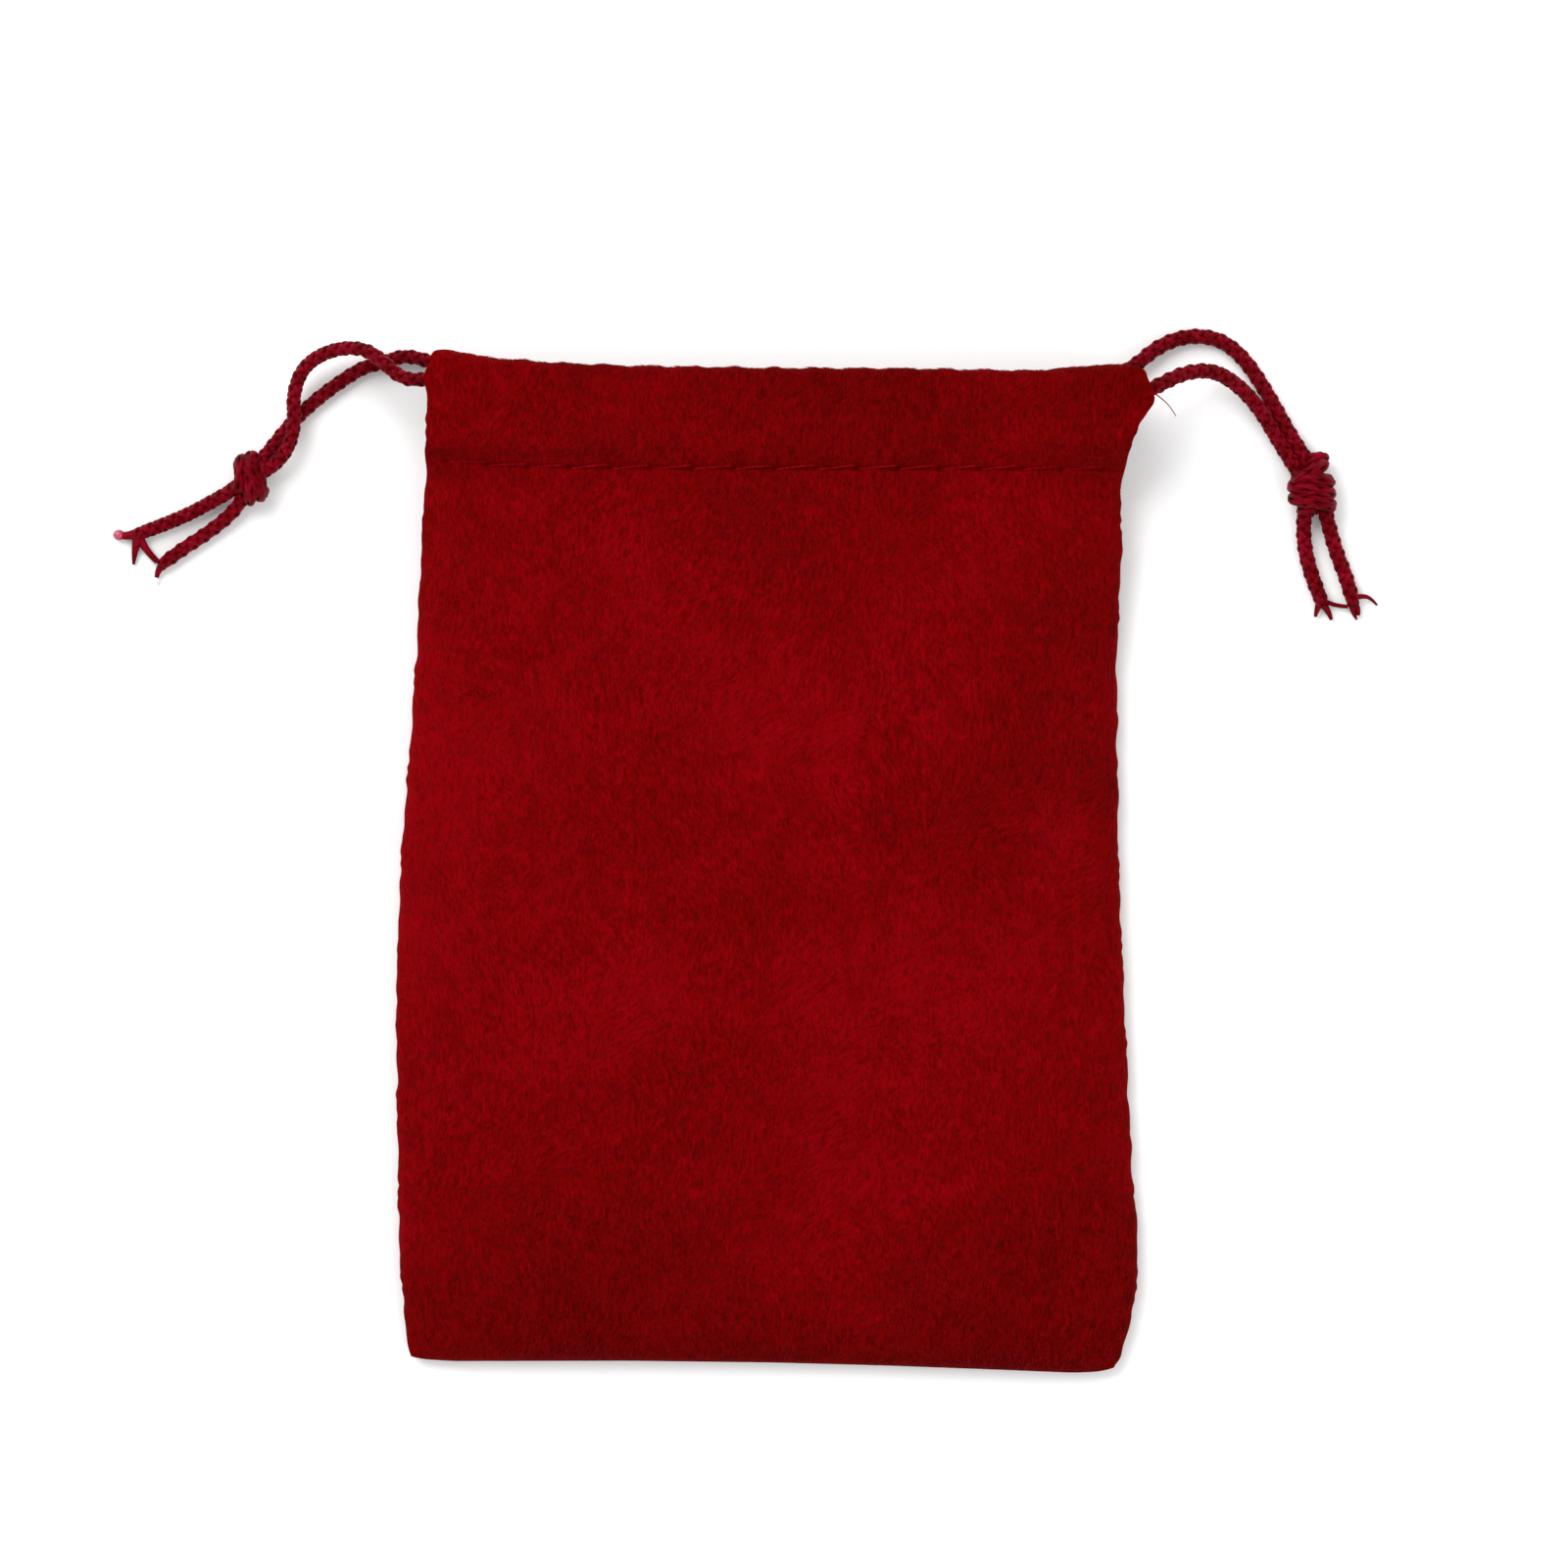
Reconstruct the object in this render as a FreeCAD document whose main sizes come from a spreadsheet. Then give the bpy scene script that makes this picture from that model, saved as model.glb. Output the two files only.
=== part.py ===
import FreeCAD, Part
import math
import os
import Sketcher

# Velvet drawstring gift sack, lying flat on its back with the mouth towards +Y. Millimetres.
# Origin: middle of the bag's box, on the surface it lies on. +X is the right side, +Z is up.
# Each drawcord goes in at one side, along the front hem, round the far side seam and back along the
# back hem, and its two ends are tied together in a knot beside the bag.

doc = FreeCAD.newDocument("GiftSack")
sheet = doc.addObject("Spreadsheet::Sheet", "Sheet")

DRIVING = [
    ("cloth", 0.9),             # velvet, pile included
    ("bag_bottom", -70.2),      # Y of the bottom seam
    ("bag_top", 70.2),          # Y of the folded mouth edge
    ("stitch_line", 53.8),      # Y of the row that closes the hems
    ("tunnel_gap", 2.5),        # free height inside a hem
    ("tunnel_low", 58.0),       # Y where the tunnel starts, above the stitching
    ("hem_taper", 3.7),         # length over which the hem closes onto its stitching
    ("hem_half", 47.7),         # half length of a hem
    ("mouth_gap", 4.4),         # opening between the hems at the middle
    ("mouth_rise", 1.0),        # how far the front hem arches up from its ends
    ("cord_radius", 1.05),
    ("left_cord_y", 66.6),      # the two cords lie side by side in each hem
    ("right_cord_y", 63.6),
    ("bag_half", 52.0),         # half width of the bag's box, where the cords' loops end
    ("loop_bend", 2.0),         # bend of a cord where it turns round the far side of the mouth
    ("seam_height", 1.8),       # two thicknesses of cloth
    ("thread", 0.22),           # sewing thread radius
    ("stitch_length", 3.4),
    ("stitch_pitch", 5.6),
    ("seam_pitch", 5.0),
    ("seam_thread_gap", 0.264), # from the edge of a seam's allowance to its row of stitches
    ("left_knot_wide", 2.6),
    ("left_knot_long", 4.1),
    ("left_knot_high", 2.7),
    ("right_knot_wide", 3.4),
    ("right_knot_long", 4.3),
    ("right_knot_high", 2.8),
]

# Bag sections from the stitch line down to the bottom seam: Y, left edge, right edge, height of the
# front panel's outer face at its edges, how far the middle is crowned above them, and how wide the
# side seam's turned-in allowances lie there. At the hems they stand up between the two panels.
SECTIONS = [
    (53.8, -47.6, 47.9, 10.75, 0.95, 2.0),
    (46.0, -48.3, 47.6, 7.6, 3.8, 3.0),
    (34.0, -48.9, 47.2, 4.8, 6.3, 5.5),
    (12.0, -50.4, 47.2, 3.6, 7.2, 8.0),
    (-20.0, -52.0, 48.2, 3.6, 7.1, 8.0),
    (-45.0, -51.8, 49.3, 3.6, 6.0, 8.0),
    (-58.0, -51.2, 49.8, 3.6, 4.1, 8.0),
    (-66.0, -50.4, 48.8, 3.6, 1.8, 8.0),
    (-70.2, -48.6, 46.0, 3.6, 0.4, 8.0),
]
SECTION_WORDS = ("sec_y", "sec_left", "sec_right", "sec_edge", "sec_crown", "sec_allowance")
SECTION_LETTERS = "abcdefghi"

LEFT_FRONT_STRAND = [
    (-48.9, 66.6, 9.8), (-51.8, 67.6, 9.3), (-55.0, 70.2, 7.9), (-58.6, 71.5, 6.2), (-62.3, 70.9, 4.8),
    (-65.1, 68.5, 4.0), (-66.4, 64.9, 3.6), (-66.3, 60.4, 3.4), (-67.2, 56.6, 3.1), (-69.6, 53.8, 2.9),
    (-72.4, 52.8, 2.7),
]
LEFT_BACK_STRAND = [
    (-48.9, 66.6, 2.15), (-51.8, 67.5, 1.7), (-55.6, 68.0, 1.2), (-59.4, 66.6, 1.15), (-63.0, 63.9, 1.15),
    (-66.8, 60.6, 1.15), (-69.8, 57.0, 1.7), (-71.7, 53.6, 2.6),
]
LEFT_FRONT_TAIL = [
    (-72.4, 52.2, 2.6), (-75.4, 50.3, 1.6), (-79.5, 48.1, 1.15), (-84.3, 46.0, 1.1), (-89.6, 44.0, 1.15),
]
LEFT_BACK_TAIL = [
    (-72.1, 51.4, 2.6), (-74.0, 48.0, 1.6), (-77.5, 45.2, 1.1), (-81.7, 42.7, 1.15), (-84.6, 39.2, 1.1),
]
RIGHT_FRONT_STRAND = [
    (48.9, 63.6, 9.8), (52.2, 63.9, 9.2), (55.6, 66.4, 7.4), (59.8, 67.5, 5.2), (63.8, 65.9, 3.6),
    (66.8, 62.3, 2.6), (69.4, 57.9, 2.2), (71.6, 54.6, 2.6), (73.4, 51.8, 2.8),
]
RIGHT_BACK_STRAND = [
    (48.9, 63.6, 2.15), (50.9, 63.5, 1.8), (52.8, 64.7, 1.5), (53.8, 67.4, 1.2), (56.0, 70.5, 1.1),
    (59.7, 71.9, 1.1), (63.6, 71.4, 1.15), (66.7, 69.0, 1.2), (69.1, 64.8, 1.3), (71.4, 60.0, 1.7),
    (73.6, 55.2, 2.6),
]
RIGHT_FRONT_TAIL = [
    (73.4, 50.6, 2.6), (72.7, 46.9, 1.6), (72.8, 42.9, 1.15), (74.0, 38.6, 1.1), (75.7, 34.2, 1.15),
]
RIGHT_BACK_TAIL = [
    (75.0, 50.6, 2.6), (75.9, 46.9, 1.6), (77.2, 42.6, 1.1), (78.9, 38.4, 1.15), (79.7, 34.0, 1.1),
]

CORNER_SHARE = 0.45         # how much of a run of a route each of its corners' arcs may use
SAME_PLACE = 1e-5

LEFT_KNOT = (-71.8, 52.75, 2.75)
RIGHT_KNOT = (74.0, 51.9, 2.85)
LEFT_KNOT_TURN = -12.0
RIGHT_KNOT_TURN = 8.0


def fill_sheet():
    rows = list(DRIVING)
    for letter, section in zip(SECTION_LETTERS, SECTIONS):
        for word, value in zip(SECTION_WORDS, section):
            rows.append(("%s_%s" % (word, letter), value))
    # Sizes that follow from the driving ones.
    rows += [
        ("hem_thick", "=2 * cloth + tunnel_gap"),
        ("arch_radius", "=(hem_half ^ 2 + mouth_rise ^ 2) / (2 * mouth_rise)"),
        ("arch_axis", "=hem_thick + mouth_gap - arch_radius"),
        ("arch_sweep", "=2 * asin(hem_half / arch_radius) / 1deg"),
        ("hem_edge", "=bag_top - hem_thick / 2"),
        ("hem_start", "=stitch_line + hem_taper"),
        ("stitch_offset", "=2 * thread"),
    ]
    for row, (alias, value) in enumerate(rows, 1):
        sheet.set("A%d" % row, alias)
        sheet.set("B%d" % row, str(value))
        sheet.setAlias("B%d" % row, alias)
    doc.recompute()


def size(alias):
    return float(sheet.get(alias))


def body_named(label):
    body = doc.addObject("PartDesign::Body", label)
    body.Label = label
    return body


def sketch_on(body, role, name, offset=0.0):
    plane = [f for f in body.Origin.OriginFeatures if f.Role == role][0]
    sketch = body.newObject("Sketcher::SketchObject", name)
    sketch.AttachmentSupport = [(plane, "")]
    sketch.MapMode = "FlatFace"
    sketch.AttachmentOffset = FreeCAD.Placement(FreeCAD.Vector(0, 0, offset), FreeCAD.Rotation())
    return sketch


def closed_outline(sketch, corners, arcs=None):
    """A closed outline through corners given as pairs of sheet expressions. arcs maps the number of a
    side to (radius expression, which side it bulges to: +1 is left of its direction). A half round has
    no radius of its own: its centre is level with its ends."""
    arcs = arcs or {}
    points = [FreeCAD.Vector(number_of(sketch, a), number_of(sketch, b), 0) for a, b in corners]
    first = sketch.GeometryCount
    count = len(points)
    for side in range(count):
        start, end = points[side], points[(side + 1) % count]
        if side in arcs:
            half = (end - start) * 0.5
            radius = number_of(sketch, arcs[side][0]) if arcs[side][0] else half.Length
            bulge = arcs[side][1]
            normal = FreeCAD.Vector(-half.y, half.x, 0).normalize() * bulge
            reach = math.sqrt(max(radius ** 2 - half.Length ** 2, 0.0))
            middle = start + half + normal * (radius - reach)
            sketch.addGeometry(Part.Arc(start, middle, end), False)
        else:
            sketch.addGeometry(Part.LineSegment(start, end), False)
    for side in range(count):
        after = (side + 1) % count
        # An arc's own end numbers follow its turning direction, so the ends are found by place.
        sketch.addConstraint(Sketcher.Constraint(
            "Coincident", first + side, end_at(sketch, first + side, points[after]),
            first + after, end_at(sketch, first + after, points[after])))
    for side, (across, up) in enumerate(corners):
        end = end_at(sketch, first + side, points[side])
        pin(sketch, "DistanceX", first + side, end, across, points[side].x)
        pin(sketch, "DistanceY", first + side, end, up, points[side].y)
    for side, (radius, _) in arcs.items():
        if radius is None:
            pin(sketch, "DistanceX", first + side, 3, corners[side][0], points[side].x)
        else:
            index = sketch.addConstraint(
                Sketcher.Constraint("Radius", first + side, number_of(sketch, radius)))
            sketch.setExpression("Constraints[%d]" % index, radius)


def number_of(sketch, expression):
    return float(sketch.evalExpression(expression))


def end_at(sketch, side, point):
    return 1 if sketch.getPoint(side, 1).distanceToPoint(point) < SAME_PLACE else 2


def pin(sketch, kind, side, end, expression, value):
    index = sketch.addConstraint(Sketcher.Constraint(kind, -1, 1, side, end, value))
    sketch.setExpression("Constraints[%d]" % index, expression)


def cell(word, number):
    return "Sheet.%s_%s" % (word, SECTION_LETTERS[number])


def make_back_panel():
    body = body_named("back_panel")
    sketch = sketch_on(body, "XY_Plane", "BackOutline")
    last = len(SECTIONS) - 1
    right = [(cell("sec_right", i), cell("sec_y", i)) for i in range(last + 1)]
    left = [(cell("sec_left", i), cell("sec_y", i)) for i in range(last, -1, -1)]
    closed_outline(sketch, right + left)
    pad = body.newObject("PartDesign::Pad", "BackPad")
    pad.Profile = sketch
    pad.setExpression("Length", "Sheet.cloth")
    return body


def make_front_panel():
    body = body_named("front_panel")
    sketches = []
    for number in range(len(SECTIONS)):
        sketch = sketch_on(body, "XZ_Plane", "FrontSection%d" % number, -SECTIONS[number][0])
        sketch.setExpression("AttachmentOffset.Base.z", "-" + cell("sec_y", number))
        left, right = cell("sec_left", number), cell("sec_right", number)
        outer = cell("sec_edge", number)
        inner = outer + " - Sheet.cloth"
        crown = cell("sec_crown", number)
        wide = "(%s - %s)" % (right, left)
        radius = "(%s ^ 2 + 4 * %s ^ 2) / (8 * %s)" % (wide, crown, crown)
        closed_outline(
            sketch,
            [(left, inner), (right, inner), (right, outer), (left, outer)],
            {0: (radius, 1), 2: (radius, -1)})
        sketches.append(sketch)
    loft = body.newObject("PartDesign::AdditiveLoft", "FrontLoft")
    loft.Profile = sketches[0]
    loft.Sections = [(sketch, [""]) for sketch in sketches[1:]]
    loft.Ruled = True
    return body


def tunnel_outline(sketch, base):
    """A hem's tunnel, seen along X, in the hem whose underside is at base."""
    edge, low = "Sheet.hem_edge", "Sheet.tunnel_low"
    floor = "%s + Sheet.cloth" % base
    roof = "%s + Sheet.cloth + Sheet.tunnel_gap" % base
    closed_outline(sketch, [(low, floor), (edge, floor), (edge, roof), (low, roof)], {1: (None, -1)})


def make_back_channel():
    body = body_named("back_channel")
    sketch = sketch_on(body, "YZ_Plane", "BackHem")
    base, thick = "0.0", "Sheet.hem_thick"
    edge, stitches = "Sheet.hem_edge", "Sheet.stitch_line"
    # The underside stays flat on the surface below, so only the inner layer slopes to the stitching.
    closed_outline(
        sketch,
        [(stitches, base), (edge, base), (edge, thick), ("Sheet.hem_start", thick),
         (stitches, "2 * Sheet.cloth")],
        {1: (None, -1)})
    tunnel_outline(sketch, base)
    pad = body.newObject("PartDesign::Pad", "BackHemPad")
    pad.Profile = sketch
    pad.setExpression("Length", "2 * Sheet.hem_half")
    pad.Midplane = True
    return body


def make_front_channel():
    """The front hem arches over the mouth: its section turns about an axis far below the bag."""
    body = body_named("front_channel")
    sketch = sketch_on(body, "YZ_Plane", "FrontHem")
    base, top = "Sheet.arch_radius", "Sheet.arch_radius + Sheet.hem_thick"
    edge, start, stitches = "Sheet.hem_edge", "Sheet.hem_start", "Sheet.stitch_line"
    closed_outline(
        sketch,
        [(stitches, base + " + Sheet.tunnel_gap / 2"), (start, base), (edge, base),
         (edge, top), (start, top),
         (stitches, base + " + Sheet.tunnel_gap / 2 + 2 * Sheet.cloth")],
        {2: (None, -1)})
    tunnel_outline(sketch, base)
    turn = body.newObject("PartDesign::Revolution", "FrontHemArch")
    turn.Profile = sketch
    turn.ReferenceAxis = (sketch, ["H_Axis"])
    turn.setExpression("Angle", "Sheet.arch_sweep")
    turn.Midplane = True
    body.Placement = FreeCAD.Placement(FreeCAD.Vector(0, 0, size("arch_axis")), FreeCAD.Rotation())
    return body


def make_side_seam(label, side):
    """Two allowances turned to the inside. The strip is tall near the hems, where the sides part."""
    body = body_named(label)
    edge_word = "sec_left" if side < 0 else "sec_right"
    sketches = []
    for number in range(len(SECTIONS) - 1):
        sketch = sketch_on(body, "XZ_Plane", label + "Section%d" % number, -SECTIONS[number][0])
        sketch.setExpression("AttachmentOffset.Base.z", "-" + cell("sec_y", number))
        edge = cell(edge_word, number)
        inner = "%s %s %s" % (edge, "+" if side < 0 else "-", cell("sec_allowance", number))
        top = "%s - Sheet.cloth" % cell("sec_edge", number)
        closed_outline(
            sketch, [(edge, "Sheet.cloth"), (inner, "Sheet.cloth"), (inner, top), (edge, top)])
        sketches.append(sketch)
    loft = body.newObject("PartDesign::AdditiveLoft", label + "Loft")
    loft.Profile = sketches[0]
    loft.Sections = [(sketch, [""]) for sketch in sketches[1:]]
    loft.Ruled = True
    return body


def make_bottom_seam():
    body = body_named("bottom_seam")
    last = len(SECTIONS) - 1
    sketch = sketch_on(body, "XY_Plane", "BottomSeamOutline", 0.0)
    sketch.setExpression("AttachmentOffset.Base.z", "Sheet.cloth")
    closed_outline(
        sketch,
        [(cell("sec_left", last), "Sheet.bag_bottom"), (cell("sec_right", last), "Sheet.bag_bottom"),
         (cell("sec_right", last - 1), cell("sec_y", last - 1)),
         (cell("sec_left", last - 1), cell("sec_y", last - 1))])
    pad = body.newObject("PartDesign::Pad", "BottomSeamPad")
    pad.Profile = sketch
    pad.setExpression("Length", "Sheet.seam_height")
    return body


def stitch_row(label, places):
    """A group of stitches: each a short round thread lying at a place, in a direction in its own plane."""
    stitches = []
    for number, (middle, along) in enumerate(places):
        stitch = doc.addObject("Part::Cylinder", "%s_%d" % (label, number))
        stitch.setExpression("Radius", "Sheet.thread")
        stitch.setExpression("Height", "Sheet.stitch_length")
        turn = FreeCAD.Rotation(FreeCAD.Vector(0, 0, 1), along)
        stitch.Placement = FreeCAD.Placement(middle - along * (size("stitch_length") / 2), turn)
        stitches.append(stitch)
    group = doc.addObject("Part::Compound", label)
    group.Label = label
    group.Links = stitches
    return group


def hem_places(height_of, slope_of):
    pitch = size("stitch_pitch")
    count = int(size("hem_half") * 2 / pitch)
    first = -pitch * (count - 1) / 2
    places = []
    for number in range(count):
        across = first + pitch * number
        slope = slope_of(across)
        places.append((
            FreeCAD.Vector(across, size("stitch_line") + size("stitch_offset"), height_of(across)),
            FreeCAD.Vector(math.cos(slope), 0, math.sin(slope))))
    return places


def make_front_hem_stitching():
    radius = size("arch_radius") + size("tunnel_gap") / 2 + 2 * size("cloth") + size("thread")
    slope = size("tunnel_gap") / 2 / size("hem_taper")
    lift = 2 * slope * size("stitch_offset")
    return stitch_row("front_hem_stitching", hem_places(
        lambda x: size("arch_axis") + math.sqrt(radius ** 2 - x ** 2) + lift,
        lambda x: -math.asin(x / radius)))


def make_back_hem_stitching():
    slope = (size("hem_thick") - 2 * size("cloth")) / size("hem_taper")
    height = 2 * size("cloth") + size("thread") + 2 * slope * size("stitch_offset")
    return stitch_row("back_hem_stitching", hem_places(lambda x: height, lambda x: 0.0))


def make_side_stitching(label, side):
    """The seam thread, on the inner edge of the turned-in allowances."""
    places = []
    column = 1 if side < 0 else 2
    gap = size("seam_thread_gap")
    height = size("cloth") + size("seam_height") / 2
    for upper, lower in zip(SECTIONS[:-2], SECTIONS[1:-1]):
        start = FreeCAD.Vector(upper[column] - side * (upper[-1] + gap), upper[0], height)
        end = FreeCAD.Vector(lower[column] - side * (lower[-1] + gap), lower[0], height)
        along = (end - start).normalize()
        count = max(1, int((end - start).Length / size("seam_pitch")))
        for number in range(count):
            places.append((start + (end - start) * ((number + 0.5) / count), along))
    return stitch_row(label, places)


def make_bottom_stitching():
    inset = SECTIONS[-2][0] + size("seam_thread_gap")
    height = size("cloth") + size("seam_height") / 2
    reach = SECTIONS[-2][2] - SECTIONS[-2][-1] - size("stitch_length")
    count = int(2 * reach / size("seam_pitch"))
    step = 2 * reach / count
    return stitch_row("bottom_seam_stitching", [
        (FreeCAD.Vector(-reach + step * (number + 0.5), inset, height), FreeCAD.Vector(1, 0, 0))
        for number in range(count)])


def rounded_path(label, route):
    """Straight runs joined by tangent arcs, each as large as its two runs allow."""
    points = [FreeCAD.Vector(*point) for point in route]
    edges = []
    radii = []
    here = points[0]
    for before, corner, after in zip(points, points[1:], points[2:]):
        into = corner - before
        out = after - corner
        reach = CORNER_SHARE * min(into.Length, out.Length)
        half_turn = into.getAngle(out) / 2
        radius = reach / math.tan(half_turn)
        start = corner - into.normalize() * reach
        end = corner + out.normalize() * reach
        to_centre = (out - into).normalize()
        centre = corner + to_centre * math.hypot(reach, radius)
        middle = centre - to_centre * radius
        edges.append(Part.LineSegment(here, start).toShape())
        edges.append(Part.Arc(start, middle, end).toShape())
        radii.append(radius)
        here = end
    edges.append(Part.LineSegment(here, points[-1]).toShape())
    print("%-24s length %6.1f  radii %s" % (
        label, sum(e.Length for e in edges), " ".join("%.1f" % r for r in radii)))
    return edges


def cord_tube(label, edges):
    """A round cord swept along a path."""
    spine = doc.addObject("Part::Feature", label + "_path")
    spine.Shape = Part.Wire(edges)
    first = edges[0]
    start = first.valueAt(first.FirstParameter)
    heading = first.tangentAt(first.FirstParameter)
    ring = doc.addObject("Part::Circle", label + "_section")
    ring.setExpression("Radius", "Sheet.cord_radius")
    ring.Placement = FreeCAD.Placement(start, FreeCAD.Rotation(FreeCAD.Vector(0, 0, 1), heading))
    tube = doc.addObject("Part::Sweep", label)
    tube.Label = label
    tube.Sections = [ring]
    tube.Spine = (spine, ["Edge%d" % (n + 1) for n in range(len(edges))])
    tube.Solid = True
    tube.Frenet = False
    return tube


def make_channel_run(label, side, place_y):
    """The stretch of a cord inside the hems. side is where its ends come out: it goes along the front
    hem's arch, down the other side of the mouth, and back along the straight back hem."""
    axis_z = size("arch_axis")
    arch = size("arch_radius") + size("hem_thick") / 2
    low = size("hem_thick") / 2
    bend = size("loop_bend")
    outer = size("bag_half") - size("cord_radius")
    turn = math.asin((outer - bend) / (arch - bend))
    exit_x = -LEFT_FRONT_STRAND[0][0]
    exit_turn = math.asin(exit_x / arch)

    def on(radius, angle, centre_x=0.0, centre_z=axis_z):
        return FreeCAD.Vector(
            -side * (centre_x + radius * math.sin(angle)), place_y, centre_z + radius * math.cos(angle))

    bend_x = outer - bend
    upper_z = axis_z + (arch - bend) * math.cos(turn)
    lower_z = low + bend
    down = math.pi / 2
    edges = [
        Part.Arc(on(arch, -exit_turn), on(arch, (turn - exit_turn) / 2), on(arch, turn)).toShape(),
        Part.Arc(
            on(bend, turn, bend_x, upper_z), on(bend, (turn + down) / 2, bend_x, upper_z),
            on(bend, down, bend_x, upper_z)).toShape(),
        Part.LineSegment(
            on(bend, down, bend_x, upper_z), on(bend, down, bend_x, lower_z)).toShape(),
        Part.Arc(
            on(bend, down, bend_x, lower_z), on(bend, 1.5 * down, bend_x, lower_z),
            on(bend, math.pi, bend_x, lower_z)).toShape(),
        Part.LineSegment(
            on(bend, math.pi, bend_x, lower_z),
            FreeCAD.Vector(side * exit_x, place_y, low)).toShape(),
    ]
    print("%-24s length %6.1f  bend radius %.2f  exit height %.2f" % (
        label, sum(e.Length for e in edges), bend, on(arch, -exit_turn).z))
    return cord_tube(label, edges)


def make_knot(label, place, turn, word):
    knot = doc.addObject("Part::Ellipsoid", label)
    knot.Label = label
    knot.setExpression("Radius1", "Sheet.%s_knot_high" % word)
    knot.setExpression("Radius2", "Sheet.%s_knot_wide" % word)
    knot.setExpression("Radius3", "Sheet.%s_knot_long" % word)
    knot.Placement = FreeCAD.Placement(
        FreeCAD.Vector(*place), FreeCAD.Rotation(FreeCAD.Vector(0, 0, 1), turn))
    return knot


def main():
    fill_sheet()
    nodes = [
        make_back_panel(),
        make_front_panel(),
        make_back_channel(),
        make_front_channel(),
        make_side_seam("left_side_seam", -1),
        make_side_seam("right_side_seam", 1),
        make_bottom_seam(),
        make_front_hem_stitching(),
        make_back_hem_stitching(),
        make_side_stitching("left_seam_stitching", -1),
        make_side_stitching("right_seam_stitching", 1),
        make_bottom_stitching(),
        make_channel_run("left_cord_channel_run", -1, size("left_cord_y")),
        make_channel_run("right_cord_channel_run", 1, size("right_cord_y")),
        make_knot("left_knot", LEFT_KNOT, LEFT_KNOT_TURN, "left"),
        make_knot("right_knot", RIGHT_KNOT, RIGHT_KNOT_TURN, "right"),
    ]
    for label, route in (
            ("left_cord_front_strand", LEFT_FRONT_STRAND),
            ("left_cord_back_strand", LEFT_BACK_STRAND),
            ("left_front_tail", LEFT_FRONT_TAIL),
            ("left_back_tail", LEFT_BACK_TAIL),
            ("right_cord_front_strand", RIGHT_FRONT_STRAND),
            ("right_cord_back_strand", RIGHT_BACK_STRAND),
            ("right_front_tail", RIGHT_FRONT_TAIL),
            ("right_back_tail", RIGHT_BACK_TAIL)):
        nodes.append(cord_tube(label, rounded_path(label, route)))
    doc.recompute()
    check_and_write(nodes)


def check_and_write(nodes):
    faults = [o.Name for o in doc.Objects if "Invalid" in o.State or "Error" in o.State]
    for node in nodes:
        if node.Shape.isNull() or not node.Shape.isValid() or not node.Shape.Solids:
            faults.append(node.Label + " shape")
    if faults:
        raise RuntimeError("not built: " + ", ".join(faults))
    section = math.pi * size("cord_radius") ** 2
    os.makedirs("parts", exist_ok=True)
    for node in nodes:
        box = node.Shape.BoundBox
        line = "%-24s solids %2d  volume %8.1f  x %6.1f %6.1f  y %6.1f %6.1f  z %5.2f %5.2f" % (
            node.Label, len(node.Shape.Solids), node.Shape.Volume,
            box.XMin, box.XMax, box.YMin, box.YMax, box.ZMin, box.ZMax)
        if node.TypeId == "Part::Sweep":
            path = sum(e.Length for e in node.Spine[0].Shape.Edges)
            line += "  volume / (section x length) %.4f" % (node.Shape.Volume / (section * path))
        print(line)
        node.Shape.exportStep("parts/%s.step" % node.Label)


main()
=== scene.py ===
import math
import random

import bpy
import numpy as np
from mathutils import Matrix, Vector, noise


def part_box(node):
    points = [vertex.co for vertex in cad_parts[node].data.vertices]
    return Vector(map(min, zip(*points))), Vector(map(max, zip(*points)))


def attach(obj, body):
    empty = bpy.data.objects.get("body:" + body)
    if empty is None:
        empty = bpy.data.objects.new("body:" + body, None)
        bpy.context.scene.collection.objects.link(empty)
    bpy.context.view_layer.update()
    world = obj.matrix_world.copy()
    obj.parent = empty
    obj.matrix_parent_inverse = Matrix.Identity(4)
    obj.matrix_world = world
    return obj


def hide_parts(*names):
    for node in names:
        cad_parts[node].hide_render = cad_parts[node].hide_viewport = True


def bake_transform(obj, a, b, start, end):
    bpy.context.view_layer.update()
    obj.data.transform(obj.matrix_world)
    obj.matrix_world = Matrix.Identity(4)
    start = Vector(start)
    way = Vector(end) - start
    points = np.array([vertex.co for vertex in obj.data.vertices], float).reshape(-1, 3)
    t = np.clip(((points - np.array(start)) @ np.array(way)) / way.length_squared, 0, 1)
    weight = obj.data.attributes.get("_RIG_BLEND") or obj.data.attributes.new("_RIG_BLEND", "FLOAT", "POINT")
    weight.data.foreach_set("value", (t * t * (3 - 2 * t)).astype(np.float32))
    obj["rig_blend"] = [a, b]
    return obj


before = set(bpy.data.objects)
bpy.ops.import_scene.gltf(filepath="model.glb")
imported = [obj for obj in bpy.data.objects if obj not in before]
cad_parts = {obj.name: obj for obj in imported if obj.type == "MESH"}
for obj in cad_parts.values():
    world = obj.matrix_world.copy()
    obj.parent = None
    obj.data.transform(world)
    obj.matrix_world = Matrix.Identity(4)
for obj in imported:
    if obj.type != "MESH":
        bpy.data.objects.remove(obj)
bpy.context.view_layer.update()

MM = 0.001

# -------- sizes, in millimetres
CLOTH = 0.85                # thickness of the velvet
CORD_R = 1.05
LEFT_GIRTH = 0.93           # the left cord looks thinner in the photograph than the right one
RUN_GIRTH = 0.93            # inside the hems the cords are thinner, so that they slide clear of the cloth
BRAID_LEAD = 7.2            # one turn of a yarn round the cord
YARNS_EACH_WAY = 4
YARN_AT = 0.70              # how far a yarn's middle lies from the cord's line
YARN_WEAVE = 0.15           # how far it goes over and under
YARN_WIDE = 0.43            # half its width and half its thickness
YARN_THICK = 0.28
BRAID_CORE = 0.42
THREAD_R = 0.15

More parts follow.
